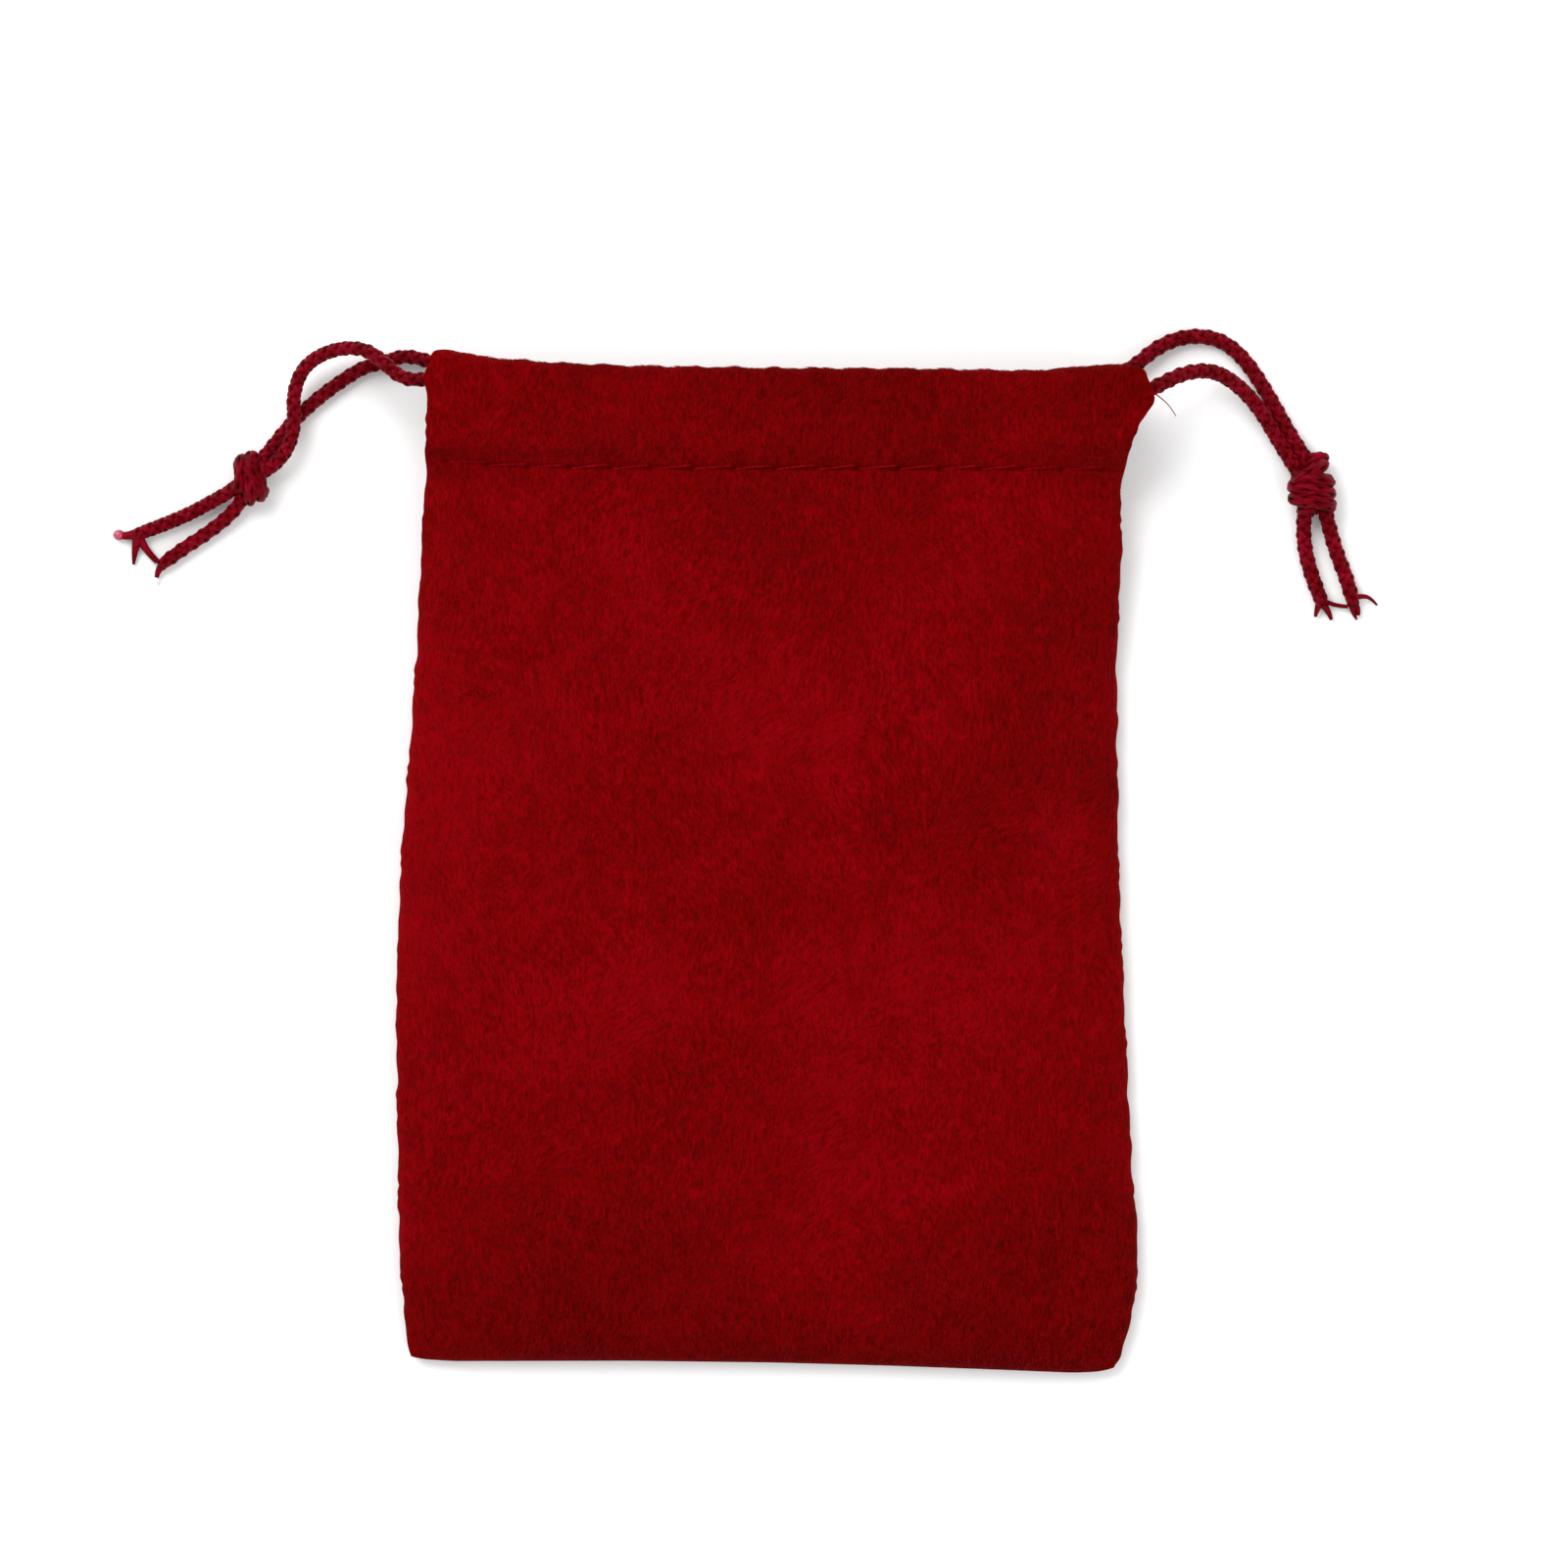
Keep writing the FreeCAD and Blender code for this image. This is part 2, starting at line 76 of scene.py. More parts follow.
LOW_LEVEL = -69.7           # levels run up the sack, from this one at its bottom edge
HEM_THICK = 4.3             # from a hem's outer face to the outer face of the cloth turned in
HEM_FOLD = HEM_THICK / 2
HIGH_LEVEL = 69.9 - HEM_FOLD        # where the cloth starts to turn over at the mouth
FRONT_HEM_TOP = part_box("front_channel")[1][2] / MM
HEM_EDGE_Y = 52.4           # where the turned-in cloth ends
HEM_INSIDE_HALF = 44.2      # half the width of the turned-in cloth
BACK_MOUTH_IN = (0.7, 3.3)  # how much further in the back's mouth ends than the front's, left and right
STITCH_Y = 53.8             # the row that closes the hems
STITCH_PITCH = 5.6
STITCH_FIRST = -44.9
STITCHES = 16
SEAM_Z = 1.9                # height of the side seams over most of their length, and at the hem
SEAM_HEM_Z = 6.0
SEAM_ENDS_Y = (-68.6, 66.5)         # where the side seams' lowest and highest levels lie
CORD_EXIT = 48.9            # where the cords leave the hems, left and right of the middle
GATHERED = 44.0             # from here out, the cloth moves all the way with a cord's loop
HALVES = (("left", "right_cord"), ("right", "left_cord"))   # the cord that loops round each half's side

# The four cords' control points: those of the CAD model, moved to follow the photograph.
LEFT_FRONT = [
    (-46.4, 66.1, 10.3), (-49.0, 65.6, 9.8), (-51.6, 66.5, 9.4), (-53.5, 68.5, 8.7), (-56.0, 70.2, 7.4),
    (-59.4, 70.4, 5.9), (-62.7, 69.3, 4.8), (-65.0, 67.3, 4.0), (-66.1, 63.8, 3.6), (-65.8, 60.0, 3.4),
    (-66.8, 56.5, 3.2), (-69.2, 53.9, 3.0), (-72.4, 52.8, 2.7), (-74.6, 51.0, 2.0), (-77.0, 49.7, 1.4),
    (-80.5, 47.8, 1.15), (-84.9, 46.0, 1.1), (-88.0, 44.9, 1.15),
]
LEFT_BACK = [
    (-46.4, 68.4, 2.15), (-49.0, 69.3, 2.0), (-51.4, 69.5, 1.7), (-53.8, 68.6, 1.3), (-56.4, 68.1, 1.2),
    (-59.3, 66.3, 1.15), (-63.0, 63.6, 1.15), (-66.5, 60.3, 1.15), (-69.3, 56.7, 1.6), (-71.7, 53.6, 2.6),
    (-72.5, 50.8, 2.4), (-74.4, 48.0, 1.6), (-77.8, 45.3, 1.1), (-81.9, 42.7, 1.15), (-84.5, 40.7, 1.1),
]
RIGHT_FRONT = [
    (47.4, 63.4, 10.0), (50.0, 63.8, 9.8), (52.6, 65.2, 9.1), (56.2, 67.0, 7.4), (60.2, 67.4, 5.2),
    (63.8, 65.3, 3.6), (66.8, 62.0, 2.6), (69.2, 57.9, 2.2), (71.2, 54.6, 2.6), (73.2, 51.4, 2.8),
    (72.9, 48.8, 2.0), (72.7, 46.0, 1.3), (72.9, 42.9, 1.15), (74.0, 38.8, 1.1), (75.4, 35.4, 1.15),
]
RIGHT_BACK = [
    (46.9, 66.6, 2.15), (49.8, 68.3, 2.0), (52.0, 70.3, 1.6), (54.8, 71.8, 1.2), (58.0, 72.4, 1.1),
    (61.4, 71.8, 1.1), (64.2, 69.6, 1.15), (66.6, 66.3, 1.2), (68.8, 62.5, 1.3), (71.0, 58.4, 1.7),
    (73.2, 55.0, 2.6), (75.0, 51.0, 2.7), (75.8, 47.6, 1.7), (77.2, 42.6, 1.1), (78.9, 38.4, 1.15),
    (79.6, 35.4, 1.1),
]
LEFT_KNOT_AT = (-71.8, 52.75, 2.75)
RIGHT_KNOT_AT = (73.7, 51.2, 2.85)

# The sack's outline: (level, x) up its two sides, and (x, y) along its bottom edge and its mouth.
LEFT_SIDE = [
    (-69.7, -49.8), (-69.0, -50.2), (-68.2, -50.4), (-66.5, -50.7), (-62.0, -51.0), (-56.0, -51.6),
    (-35.0, -51.9), (-19.0, -52.0), (0.0, -51.3), (14.0, -50.2), (30.0, -49.1), (46.0, -48.2),
    (53.5, -47.6), (62.0, -47.2), (66.0, -47.7), (70.2, -45.8),
]
RIGHT_SIDE = [
    (-69.7, 46.5), (-68.9, 47.3), (-67.9, 47.8), (-66.0, 48.4), (-62.5, 49.1), (-57.0, 50.0),
    (-52.0, 49.9), (-40.0, 49.0), (-20.0, 48.1), (0.0, 47.3), (30.0, 47.0), (44.0, 47.6), (49.4, 47.4),
    (54.0, 47.6), (59.0, 48.7), (62.0, 50.3), (64.3, 51.8), (66.5, 51.4), (70.2, 49.2),
]
BOTTOM_EDGE = [
    (-52, -67.5), (-50.4, -67.8), (-48.8, -68.3), (-44, -68.6), (-20, -68.55), (0, -68.8), (15, -69.2),
    (30, -69.75), (41, -70.2), (44, -70.1), (46, -69.8), (47.2, -69.2), (52, -68.9),
]
TOP_EDGE = [
    (-52, 70.2), (-45, 70.4), (-41, 69.4), (-30, 68.6), (-20, 68.2), (0, 67.9), (20, 67.8), (38, 67.5),
    (46, 68.2), (52, 68.4),
]
# How high the front's middle stands, as (level, height).
CROWN = [
    (-70.2, 4.6), (-66, 5.6), (-58, 7.6), (-45, 9.5), (-20, 10.6), (12, 10.7), (34, 10.9), (46, 11.2),
    (53.8, 11.7), (70.2, 11.7),
]


def new_object(name, data):
    made = bpy.data.objects.new(name, data)
    bpy.context.collection.objects.link(made)
    return made


# -------- camera, floor and light
def make_camera():
    """Straight above the sack, like the photograph's."""
    data = bpy.data.cameras.new("camera")
    data.lens = 170
    data.sensor_width = 36
    data.dof.use_dof = False
    camera = new_object("camera", data)
    seen_width = 214.8          # the picture's width, in a plane at half the sack's height
    plane = 5.0
    centre_x, centre_y = 1.3, 10.7
    distance = seen_width * data.lens / data.sensor_width
    camera.location = (centre_x * MM, centre_y * MM, (distance + plane) * MM)
    bpy.context.scene.camera = camera


def make_stage():
    """A plain floor, just under the sack."""
    mesh = bpy.data.meshes.new("floor")
    reach = 1.5
    mesh.from_pydata([(-reach, -reach, 0), (reach, -reach, 0), (reach, reach, 0), (-reach, reach, 0)],
                     [], [(0, 1, 2, 3)])
    floor = new_object("floor", mesh)
    material = bpy.data.materials.new("floor")
    material.use_nodes = True
    shader = material.node_tree.nodes["Principled BSDF"]
    shader.inputs["Base Color"].default_value = (0.9, 0.9, 0.9, 1)
    shader.inputs["Roughness"].default_value = 0.9
    shader.inputs["Specular IOR Level"].default_value = 0.1
    mesh.materials.append(material)
    floor.location.z = -0.00005


def make_light():
    """An even white studio, with a soft key light from the top left and a weaker one opposite."""
    world = bpy.data.worlds.new("studio")
    world.use_nodes = True
    background = world.node_tree.nodes["Background"]
    background.inputs["Color"].default_value = (1, 1, 1, 1)
    background.inputs["Strength"].default_value = 0.75
    bpy.context.scene.world = world
    for name, place, wide, power in (
            ("key", (-0.45, 0.55, 0.75), 0.7, 9.0),
            ("fill", (0.6, -0.35, 0.6), 0.8, 3.5)):
        light = bpy.data.lights.new(name, "AREA")
        light.size = wide
        light.energy = power
        lamp = new_object(name, light)
        lamp.location = place
        lamp.rotation_euler = Vector(place).to_track_quat("Z", "Y").to_euler()
    bpy.context.scene.view_settings.view_transform = "Standard"


# -------- materials
def new_material(name, roughness, sheen, sheen_tint, sheen_roughness=0.4):
    material = bpy.data.materials.new(name)
    material.use_nodes = True
    shader = material.node_tree.nodes["Principled BSDF"]
    shader.inputs["Roughness"].default_value = roughness
    shader.inputs["Sheen Weight"].default_value = sheen
    shader.inputs["Sheen Roughness"].default_value = sheen_roughness
    shader.inputs["Sheen Tint"].default_value = sheen_tint
    return material, shader


def node(material, kind, **settings):
    made = material.node_tree.nodes.new(kind)
    for key, value in settings.items():
        setattr(made, key, value)
    return made


def join(material, a, b):
    material.node_tree.links.new(a, b)


def noise_node(material, vector, scale, detail=2.0, roughness=0.5):
    made = node(material, "ShaderNodeTexNoise")
    made.inputs["Scale"].default_value = scale
    made.inputs["Detail"].default_value = detail
    made.inputs["Roughness"].default_value = roughness
    join(material, vector, made.inputs["Vector"])
    return made.outputs["Fac"]


def scaled(material, vector, size):
    made = node(material, "ShaderNodeMapping")
    made.inputs["Scale"].default_value = size
    join(material, vector, made.inputs["Vector"])
    return made.outputs["Vector"]


def maths(material, operation, a, b=None, c=None):
    made = node(material, "ShaderNodeMath", operation=operation)
    for socket, value in zip(made.inputs, (a, b, c)):
        if value is None:
            continue
        if isinstance(value, (int, float)):
            socket.default_value = value
        else:
            join(material, value, socket)
    return made.outputs["Value"]


def colour_by(material, shader, factor, stops):
    """Base colour from a factor, through (place, colour) stops."""
    made = node(material, "ShaderNodeValToRGB")
    elements = made.color_ramp.elements
    while len(elements) < len(stops):
        elements.new(0.5)
    for element, (place, colour) in zip(elements, stops):
        element.position = place
        element.color = (*colour, 1)
    join(material, factor, made.inputs["Fac"])
    join(material, made.outputs["Color"], shader.inputs["Base Color"])


def bump_by(material, shader, height, strength, distance):
    made = node(material, "ShaderNodeBump")
    made.inputs["Strength"].default_value = strength
    made.inputs["Distance"].default_value = distance
    join(material, height, made.inputs["Height"])
    join(material, made.outputs["Normal"], shader.inputs["Normal"])


def velvet_material(name, pile=1.0, shade=1.0):
    """Short brushed pile: fine hair strokes that follow a slowly turning nap, over soft light and dark
    patches where the pile has been stroked up or down."""
    material, shader = new_material(name, 0.9, 0.08, (1.0, 0.0, 0.0, 1), 0.45)
    shader.inputs["Specular IOR Level"].default_value = 0.02
    place = node(material, "ShaderNodeTexCoord").outputs["Object"]

    # The nap's direction wanders, so the strokes bend.
    wander = node(material, "ShaderNodeTexNoise")
    wander.inputs["Scale"].default_value = 60
    wander.inputs["Detail"].default_value = 1.5
    join(material, place, wander.inputs["Vector"])
    bent = node(material, "ShaderNodeVectorMath", operation="MULTIPLY_ADD")
    join(material, wander.outputs["Color"], bent.inputs[0])
    bent.inputs[1].default_value = (0.008, 0.004, 0.0)
    join(material, place, bent.inputs[2])
    bent = bent.outputs["Vector"]
    upright = noise_node(material, scaled(material, bent, (1.0, 0.27, 0.6)), 2800, 3.0, 0.65)
    leaning = node(material, "ShaderNodeMapping")
    leaning.inputs["Rotation"].default_value = (0, 0, math.radians(48))
    join(material, bent, leaning.inputs["Vector"])
    leaning = leaning.outputs["Vector"]
    slanted = noise_node(material, scaled(material, leaning, (1.0, 0.28, 0.6)), 2600, 3.0, 0.65)
    lean = noise_node(material, place, 75, 2.0, 0.5)
    lean = maths(material, "MULTIPLY_ADD", lean, 9.0, -5.0)
    lean = maths(material, "MINIMUM", maths(material, "MAXIMUM", lean, 0.0), 1.0)
    strokes = node(material, "ShaderNodeMix", data_type="FLOAT")
    join(material, lean, strokes.inputs["Factor"])
    join(material, upright, strokes.inputs["A"])
    join(material, slanted, strokes.inputs["B"])
    strokes = strokes.outputs["Result"]
    fine = noise_node(material, scaled(material, bent, (1.0, 0.4, 0.6)), 5200, 2.0, 0.6)
    clumps = noise_node(material, scaled(material, bent, (1.0, 0.6, 0.8)), 560, 3.0, 0.55)
    patches = noise_node(material, scaled(material, place, (0.7, 1.0, 1.0)), 62, 4.0, 0.55)
    broad = noise_node(material, scaled(material, place, (0.6, 1.0, 1.0)), 19, 2.0, 0.5)

    # Darker towards the hem and the bottom right: a tone set by place alone.
    spot = node(material, "ShaderNodeSeparateXYZ")
    join(material, place, spot.inputs["Vector"])
    y_squared = maths(material, "MULTIPLY", spot.outputs["Y"], spot.outputs["Y"])
    tone_by_place = maths(material, "MULTIPLY_ADD", y_squared, -40.0, 0.58)
    tone_by_place = maths(material, "MULTIPLY_ADD", spot.outputs["X"], -1.2, tone_by_place)
    tone = tone_by_place
    for pattern, strength in ((patches, 0.55), (broad, 0.30), (clumps, 0.34 * pile),
                              (strokes, 1.15 * pile), (fine, 0.45 * pile)):
        tone = maths(material, "MULTIPLY_ADD", maths(material, "SUBTRACT", pattern, 0.5), strength, tone)
    dark = (0.062 * shade, 0.0, 0.0)
    middle = (0.128 * shade, 0.0, 0.0002)
    light = (0.200 * shade, 0.0, 0.0022)
    colour_by(material, shader, tone, [(0.22, dark), (0.5, middle), (0.78, light)])

    height = maths(material, "MULTIPLY_ADD", strokes, 0.7, maths(material, "MULTIPLY", fine, 0.35))
    height = maths(material, "MULTIPLY_ADD", clumps, 1.1, height)
    bump_by(material, shader, height, 0.7 * pile, 0.0004)
    return material


def yarn_material(name, shade=1.0):
    """Satin nylon yarn: fine filaments along each yarn, darker between them, with a painted highlight on each
    yarn's crown and painted shade on its face towards the core.
    """
    material, shader = new_material(name, 0.5, 0.10, (1.0, 0.06, 0.12, 1), 0.35)
    shader.inputs["Specular IOR Level"].default_value = 0.12
    shader.inputs["Specular Tint"].default_value = (1.0, 0.12, 0.2, 1)
    along = node(material, "ShaderNodeUVMap", uv_map="fibre").outputs["UV"]
    filaments = noise_node(material, scaled(material, along, (9.0, 0.5, 1.0)), 1.6, 2.0, 0.6)
    place = node(material, "ShaderNodeTexCoord").outputs["Object"]
    uneven = noise_node(material, place, 420, 2.0, 0.5)
    tone = maths(material, "MULTIPLY_ADD", filaments, 0.6, maths(material, "MULTIPLY", uneven, 0.4))
    # Painted light and shade: each yarn is coloured lighter on its crown, away from the cord's middle, and
    # darker on its face towards the core.
    around = node(material, "ShaderNodeSeparateXYZ")
    join(material, along, around.inputs["Vector"])
    crown = maths(material, "SINE", maths(material, "MULTIPLY", around.outputs["X"], 2 * math.pi))
    tone = maths(material, "MULTIPLY_ADD", crown, 0.16, maths(material, "SUBTRACT", tone, 0.06))
    colour_by(material, shader, tone, [
        (0.24, (0.020 * shade, 0.0, 0.0)), (0.52, (0.092 * shade, 0.0, 0.001)),
        (0.84, (0.27 * shade, 0.003, 0.018))])
    bump_by(material, shader, filaments, 0.5, 0.00006)
    return material


def hair_material():
    """The tips of single hairs, painted lighter than the pile under them: a painted highlight for the light
    that they catch.
    """
    material, shader = new_material("velvet_hair", 0.7, 0.1, (1.0, 0.05, 0.1, 1))
    shader.inputs["Specular IOR Level"].default_value = 0.05
    place = node(material, "ShaderNodeTexCoord").outputs["Object"]
    each = noise_node(material, place, 1500, 2.0, 0.6)
    patches = noise_node(material, place, 90, 2.0, 0.5)
    tone = maths(material, "MULTIPLY_ADD", each, 0.6, maths(material, "MULTIPLY", patches, 0.4))
    # Painted highlight: these colours are lighter than the velvet's own.
    colour_by(material, shader, tone, [
        (0.36, (0.085, 0.0, 0.0)), (0.52, (0.145, 0.0, 0.0006)), (0.68, (0.27, 0.001, 0.008))])
    return material


def thread_material():
    """Twisted sewing thread."""
    material, shader = new_material("sewing_thread", 0.8, 0.0, (1.0, 0.0, 0.02, 1))
    shader.inputs["Specular IOR Level"].default_value = 0.02
    place = node(material, "ShaderNodeTexCoord").outputs["Object"]
    twist = noise_node(material, scaled(material, place, (1.0, 2.2, 1.0)), 2600, 1.0, 0.5)
    colour_by(material, shader, twist, [(0.35, (0.14, 0.0, 0.001)), (0.65, (0.27, 0.002, 0.008))])
    return material


def melted_material(name, deep, pale):
    """Cloudy drops of nylon at the ends that were cut with a hot knife."""
    material, shader = new_material(name, 0.25, 0.0, (1, 1, 1, 1))
    place = node(material, "ShaderNodeTexCoord").outputs["Object"]
    cloudy = noise_node(material, place, 900, 2.0, 0.5)
    colour_by(material, shader, cloudy, [(0.35, deep), (0.65, pale)])
    shader.inputs["Subsurface Weight"].default_value = 0.2
    shader.inputs["Subsurface Scale"].default_value = 0.0005
    return material


# -------- curves and tubes
def spline_points(points, step=0.14):
    """Evenly spaced points, in millimetres, of the smooth line that the control points make."""
    curve = bpy.data.curves.new("route", "CURVE")
    curve.dimensions = "3D"
    spline = curve.splines.new("NURBS")
    spline.points.add(len(points) - 1)
    for at, point in zip(spline.points, points):
        at.co = (*point, 1)
    spline.order_u = 3
    spline.use_endpoint_u = True
    spline.resolution_u = 24
    holder = bpy.data.objects.new("route", curve)
    mesh = bpy.data.meshes.new_from_object(holder)
    line = np.array([v.co for v in mesh.vertices], float)
    bpy.data.objects.remove(holder)
    bpy.data.curves.remove(curve)
    bpy.data.meshes.remove(mesh)
    return resampled(line, step)


def distance_along(line):
    """How far along the line each of its points lies."""
    return np.concatenate([[0], np.cumsum(np.linalg.norm(np.diff(line, axis=0), axis=1))])


def resampled(line, step):
    """The line again, with points about a step apart."""
    along = distance_along(line)
    count = max(4, int(along[-1] / step))
    wanted = np.linspace(0, along[-1], count + 1)
    return np.stack([np.interp(wanted, along, line[:, k]) for k in range(3)], axis=1)


def cross_directions(line):
    """Two cross directions at each point of a line, without twist."""
    tangents = np.gradient(line, axis=0)
    tangents /= np.linalg.norm(tangents, axis=1)[:, None]
    first = np.cross(tangents[0], (0, 0, 1.0))
    if np.linalg.norm(first) < 1e-3:
        first = np.cross(tangents[0], (0, 1.0, 0))
    side = first / np.linalg.norm(first)
    sides = [side]
    for tangent in tangents[1:]:
        side = side - tangent * np.dot(side, tangent)
        side = side / np.linalg.norm(side)
        sides.append(side)
    sides = np.array(sides)
    return sides, np.cross(tangents, sides)


class MeshParts:
    """Collects tubes and quads into one mesh, with a map that runs around and along each tube."""

    def __init__(self):
        self.points = []
        self.faces = []
        self.uvs = []
        self.slots = []
        self.count = 0

    def tube(self, line, half_wide, half_thick, out, sides=8, slot=0):
        """A closed tube of oval section along line. out is the direction of the thin way at each point."""
        tangents = np.gradient(line, axis=0)
        tangents /= np.linalg.norm(tangents, axis=1)[:, None]
        out = out - tangents * (out * tangents).sum(axis=1)[:, None]
        out /= np.linalg.norm(out, axis=1)[:, None]
        across = np.cross(tangents, out)
        half_wide = np.broadcast_to(half_wide, len(line))
        half_thick = np.broadcast_to(half_thick, len(line))
        rings = len(line)
        travelled = distance_along(line)
        for number in range(rings):
            for corner in range(sides):
                angle = 2 * math.pi * corner / sides
                self.points.append(
                    line[number] + across[number] * (half_wide[number] * math.cos(angle))
                    + out[number] * (half_thick[number] * math.sin(angle)))
        base = self.count
        for number in range(rings - 1):
            for corner in range(sides):
                after = (corner + 1) % sides
                a = base + number * sides
                b = a + sides
                self.faces.append((a + corner, a + after, b + after, b + corner))
                u, v = corner / sides, (corner + 1) / sides
                s, t = travelled[number], travelled[number + 1]
                self.uvs.append(((u, s), (v, s), (v, t), (u, t)))
                self.slots.append(slot)
        start = tuple(base + corner for corner in reversed(range(sides)))
        end = tuple(base + (rings - 1) * sides + corner for corner in range(sides))
        for cap in (start, end):
            self.faces.append(cap)
            self.uvs.append(((0.5, travelled[-1]),) * len(cap))
            self.slots.append(slot)
        self.count += rings * sides

    def build(self, name, materials):
        mesh = bpy.data.meshes.new(name)
        mesh.from_pydata([tuple(p * MM) for p in self.points], [], self.faces)
        layer = mesh.uv_layers.new(name="fibre")
        flat = [value for face in self.uvs for pair in face for value in pair]
        layer.data.foreach_set("uv", flat)
        for material in materials:
            mesh.materials.append(material)
        mesh.polygons.foreach_set("material_index", self.slots)
        mesh.polygons.foreach_set("use_smooth", [True] * len(mesh.polygons))
        return new_object(name, mesh)


# -------- braided cord
def add_braid(parts, line, scale, phase=0.0, weave=1.0, lead=BRAID_LEAD):
    """Eight yarns braided round a line, four each way, each passing over one and under one."""
    side, up = cross_directions(line)
    travelled = distance_along(line)
    turn = 2 * math.pi * travelled / lead + phase
    rise = np.cos(YARNS_EACH_WAY * turn)
    for way in (1, -1):
        reach = (YARN_AT + way * YARN_WEAVE * weave * rise) * scale
        for number in range(YARNS_EACH_WAY):
            angle = way * turn + 2 * math.pi * number / YARNS_EACH_WAY
            out = side * np.cos(angle)[:, None] + up * np.sin(angle)[:, None]
            parts.tube(line + out * reach[:, None], YARN_WIDE * scale, YARN_THICK * scale, out)
    parts.tube(line, BRAID_CORE * scale, BRAID_CORE * scale, side, sides=6)


def add_filament(parts, points, thick, thin):
    """A loose end that narrows from thick to thin through the given points."""
    line = spline_points(points, 0.16)
    share = np.linspace(0, 1, len(line))
    width = thick + (thin - thick) * share
    parts.tube(line, width, width * 0.85, np.tile((0.05, 0.1, 1.0), (len(line), 1)), sides=7)


def add_blob(parts, centre, radii, slot):
    """A drop of melted nylon."""
    bands = 7
    rings = np.linspace(-1, 1, bands + 2)
    line = np.array([(centre[0] + radii[0] * r, centre[1], centre[2]) for r in rings])
    width = np.sqrt(np.clip(1 - rings ** 2, 0.02, 1))
    up = np.tile((0, 0, 1.0), (len(line), 1))
    parts.tube(line, radii[1] * width, radii[2] * width, up, sides=10, slot=slot)


def make_cord(name, route, girth, nodes, body, ends, materials):
    """One free end of a cord, from the hem to its frayed or melted tip."""
    line = spline_points(route)
    travelled = distance_along(line)
    to_end = travelled[-1] - travelled
    # The braid was cut with a hot knife, so it pulls in a little at its end.
    scale = girth * (1.0 - 0.25 * np.exp(-to_end / 0.7))
    parts = MeshParts()
    add_braid(parts, line, scale)
    piece = parts.build(name, materials)
    loose = MeshParts()
    for points, thick, thin in ends["filaments"]:
        add_filament(loose, points, thick, thin)
    for centre, radii, slot in ends.get("blobs", ()):
        add_blob(loose, centre, radii, slot)
    fray = loose.build(f"{name}_fray", materials)
    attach(fray, body)
    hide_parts(*nodes)
    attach(piece, body)


def make_run(name, node_name, side, y, front_end, back_end, body, materials):
    """The part of a cord inside the hems: along the front, round the far end and back along the back."""
    far = 46.0 * side
    route = [
        front_end, (-42.0 * side, y, 10.6), (-25.0 * side, y, 10.75), (25.0 * side, y, 10.75),
        (43.0 * side, y, 10.7), (far, y, 9.9), (far + 0.4 * side, y, 7.6), (far + 0.4 * side, y, 4.6),
        (far, y, 2.9), (43.0 * side, y, 2.2), (25.0 * side, y, 2.15), (-38.0 * side, y, 2.15), back_end,
    ]
    line = spline_points(route, 0.22)
    parts = MeshParts()
    add_braid(parts, line, np.full(len(line), RUN_GIRTH))
    piece = parts.build(name, materials)
    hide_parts(node_name)
    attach(piece, body)


# -------- knots
def wrapped_line(turns, wide, high, pitch, start, lean, first_angle):
    """A cord wound round a knot's core: across, along and up, with its ends tucked into the core."""
    points_per_turn = 26
    count = int(turns * points_per_turn)
    points = []
    for number in range(count + 1):
        share = number / count
        angle = first_angle + 2 * math.pi * turns * share
        tuck = min(1.0, 9 * share, 9 * (1 - share)) ** 0.6
        across = wide * math.cos(angle) * tuck
        along = start + pitch * turns * share + lean * math.cos(angle)
        points.append((across, along, high * math.sin(angle) * tuck))
    return np.array(points)


def placed(points, centre, turn):
    """The points turned about the vertical by turn degrees, and moved to centre."""
    cosine, sine = math.cos(math.radians(turn)), math.sin(math.radians(turn))
    x = points[:, 0] * cosine - points[:, 1] * sine + centre[0]
    y = points[:, 0] * sine + points[:, 1] * cosine + centre[1]
    return np.stack([x, y, points[:, 2] + centre[2]], axis=1)


def make_knot(name, node_name, body, centre, turn, loops, materials):
    """A knot of several wound loops of cord, resting on the floor."""
    parts = MeshParts()
    for number, loop in enumerate(loops):
        line = placed(wrapped_line(**loop), centre, turn)
        line = resampled(line, 0.14)
        line[:, 2] = np.maximum(line[:, 2], CORD_R)
        add_braid(parts, line, np.full(len(line), 0.97), phase=0.7 * number, weave=0.5, lead=12.5)
    piece = parts.build(name, materials)
    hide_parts(node_name)
    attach(piece, body)
    return piece


# -------- cloth
def smooth(a, b, x):
    """0 up to a, 1 from b on, and a smooth rise between."""
    t = np.clip((x - a) / (b - a), 0, 1)
    return t * t * (3 - 2 * t)


def rounded_outline(pairs, where, blur):
    """A line through (place, value) pairs, with its corners softened over blur millimetres."""
    places, values = zip(*pairs)
    offsets = np.linspace(-1.5, 1.5, 13) * blur
    weights = np.exp(-(offsets / blur) ** 2 * 2)
    total = sum(w * np.interp(where + o, places, values) for w, o in zip(weights, offsets))
    return total / weights.sum()


def field(x, y, scale, seed):
    """Smooth noise over the sheet, from -1 to 1."""
    flat = [noise.noise(Vector((a / scale, b / scale, seed))) for a, b in zip(x.ravel(), y.ravel())]
    return np.array(flat).reshape(x.shape)


def places_across(rows, columns):
    """Places across the sack, from -1 to 1 and finer at the edges, for every row."""
    u = np.linspace(-1, 1, columns)
    edge = 0.93
    outer = np.abs(u) > edge
    t = (np.abs(u[outer]) - edge) / (1 - edge)
    u[outer] = np.sign(u[outer]) * (edge + (1 - edge) * np.sin(t * math.pi / 2))
    return np.tile(u, (rows, 1))


def levels(*stretches):
    """Row heights from stretches of (from, to, step)."""
    made = []
    for low, high, step in stretches:
        made.extend(np.linspace(low, high, max(2, round((high - low) / step) + 1))[:-1])
    made.append(stretches[-1][1])
    return np.array(made)


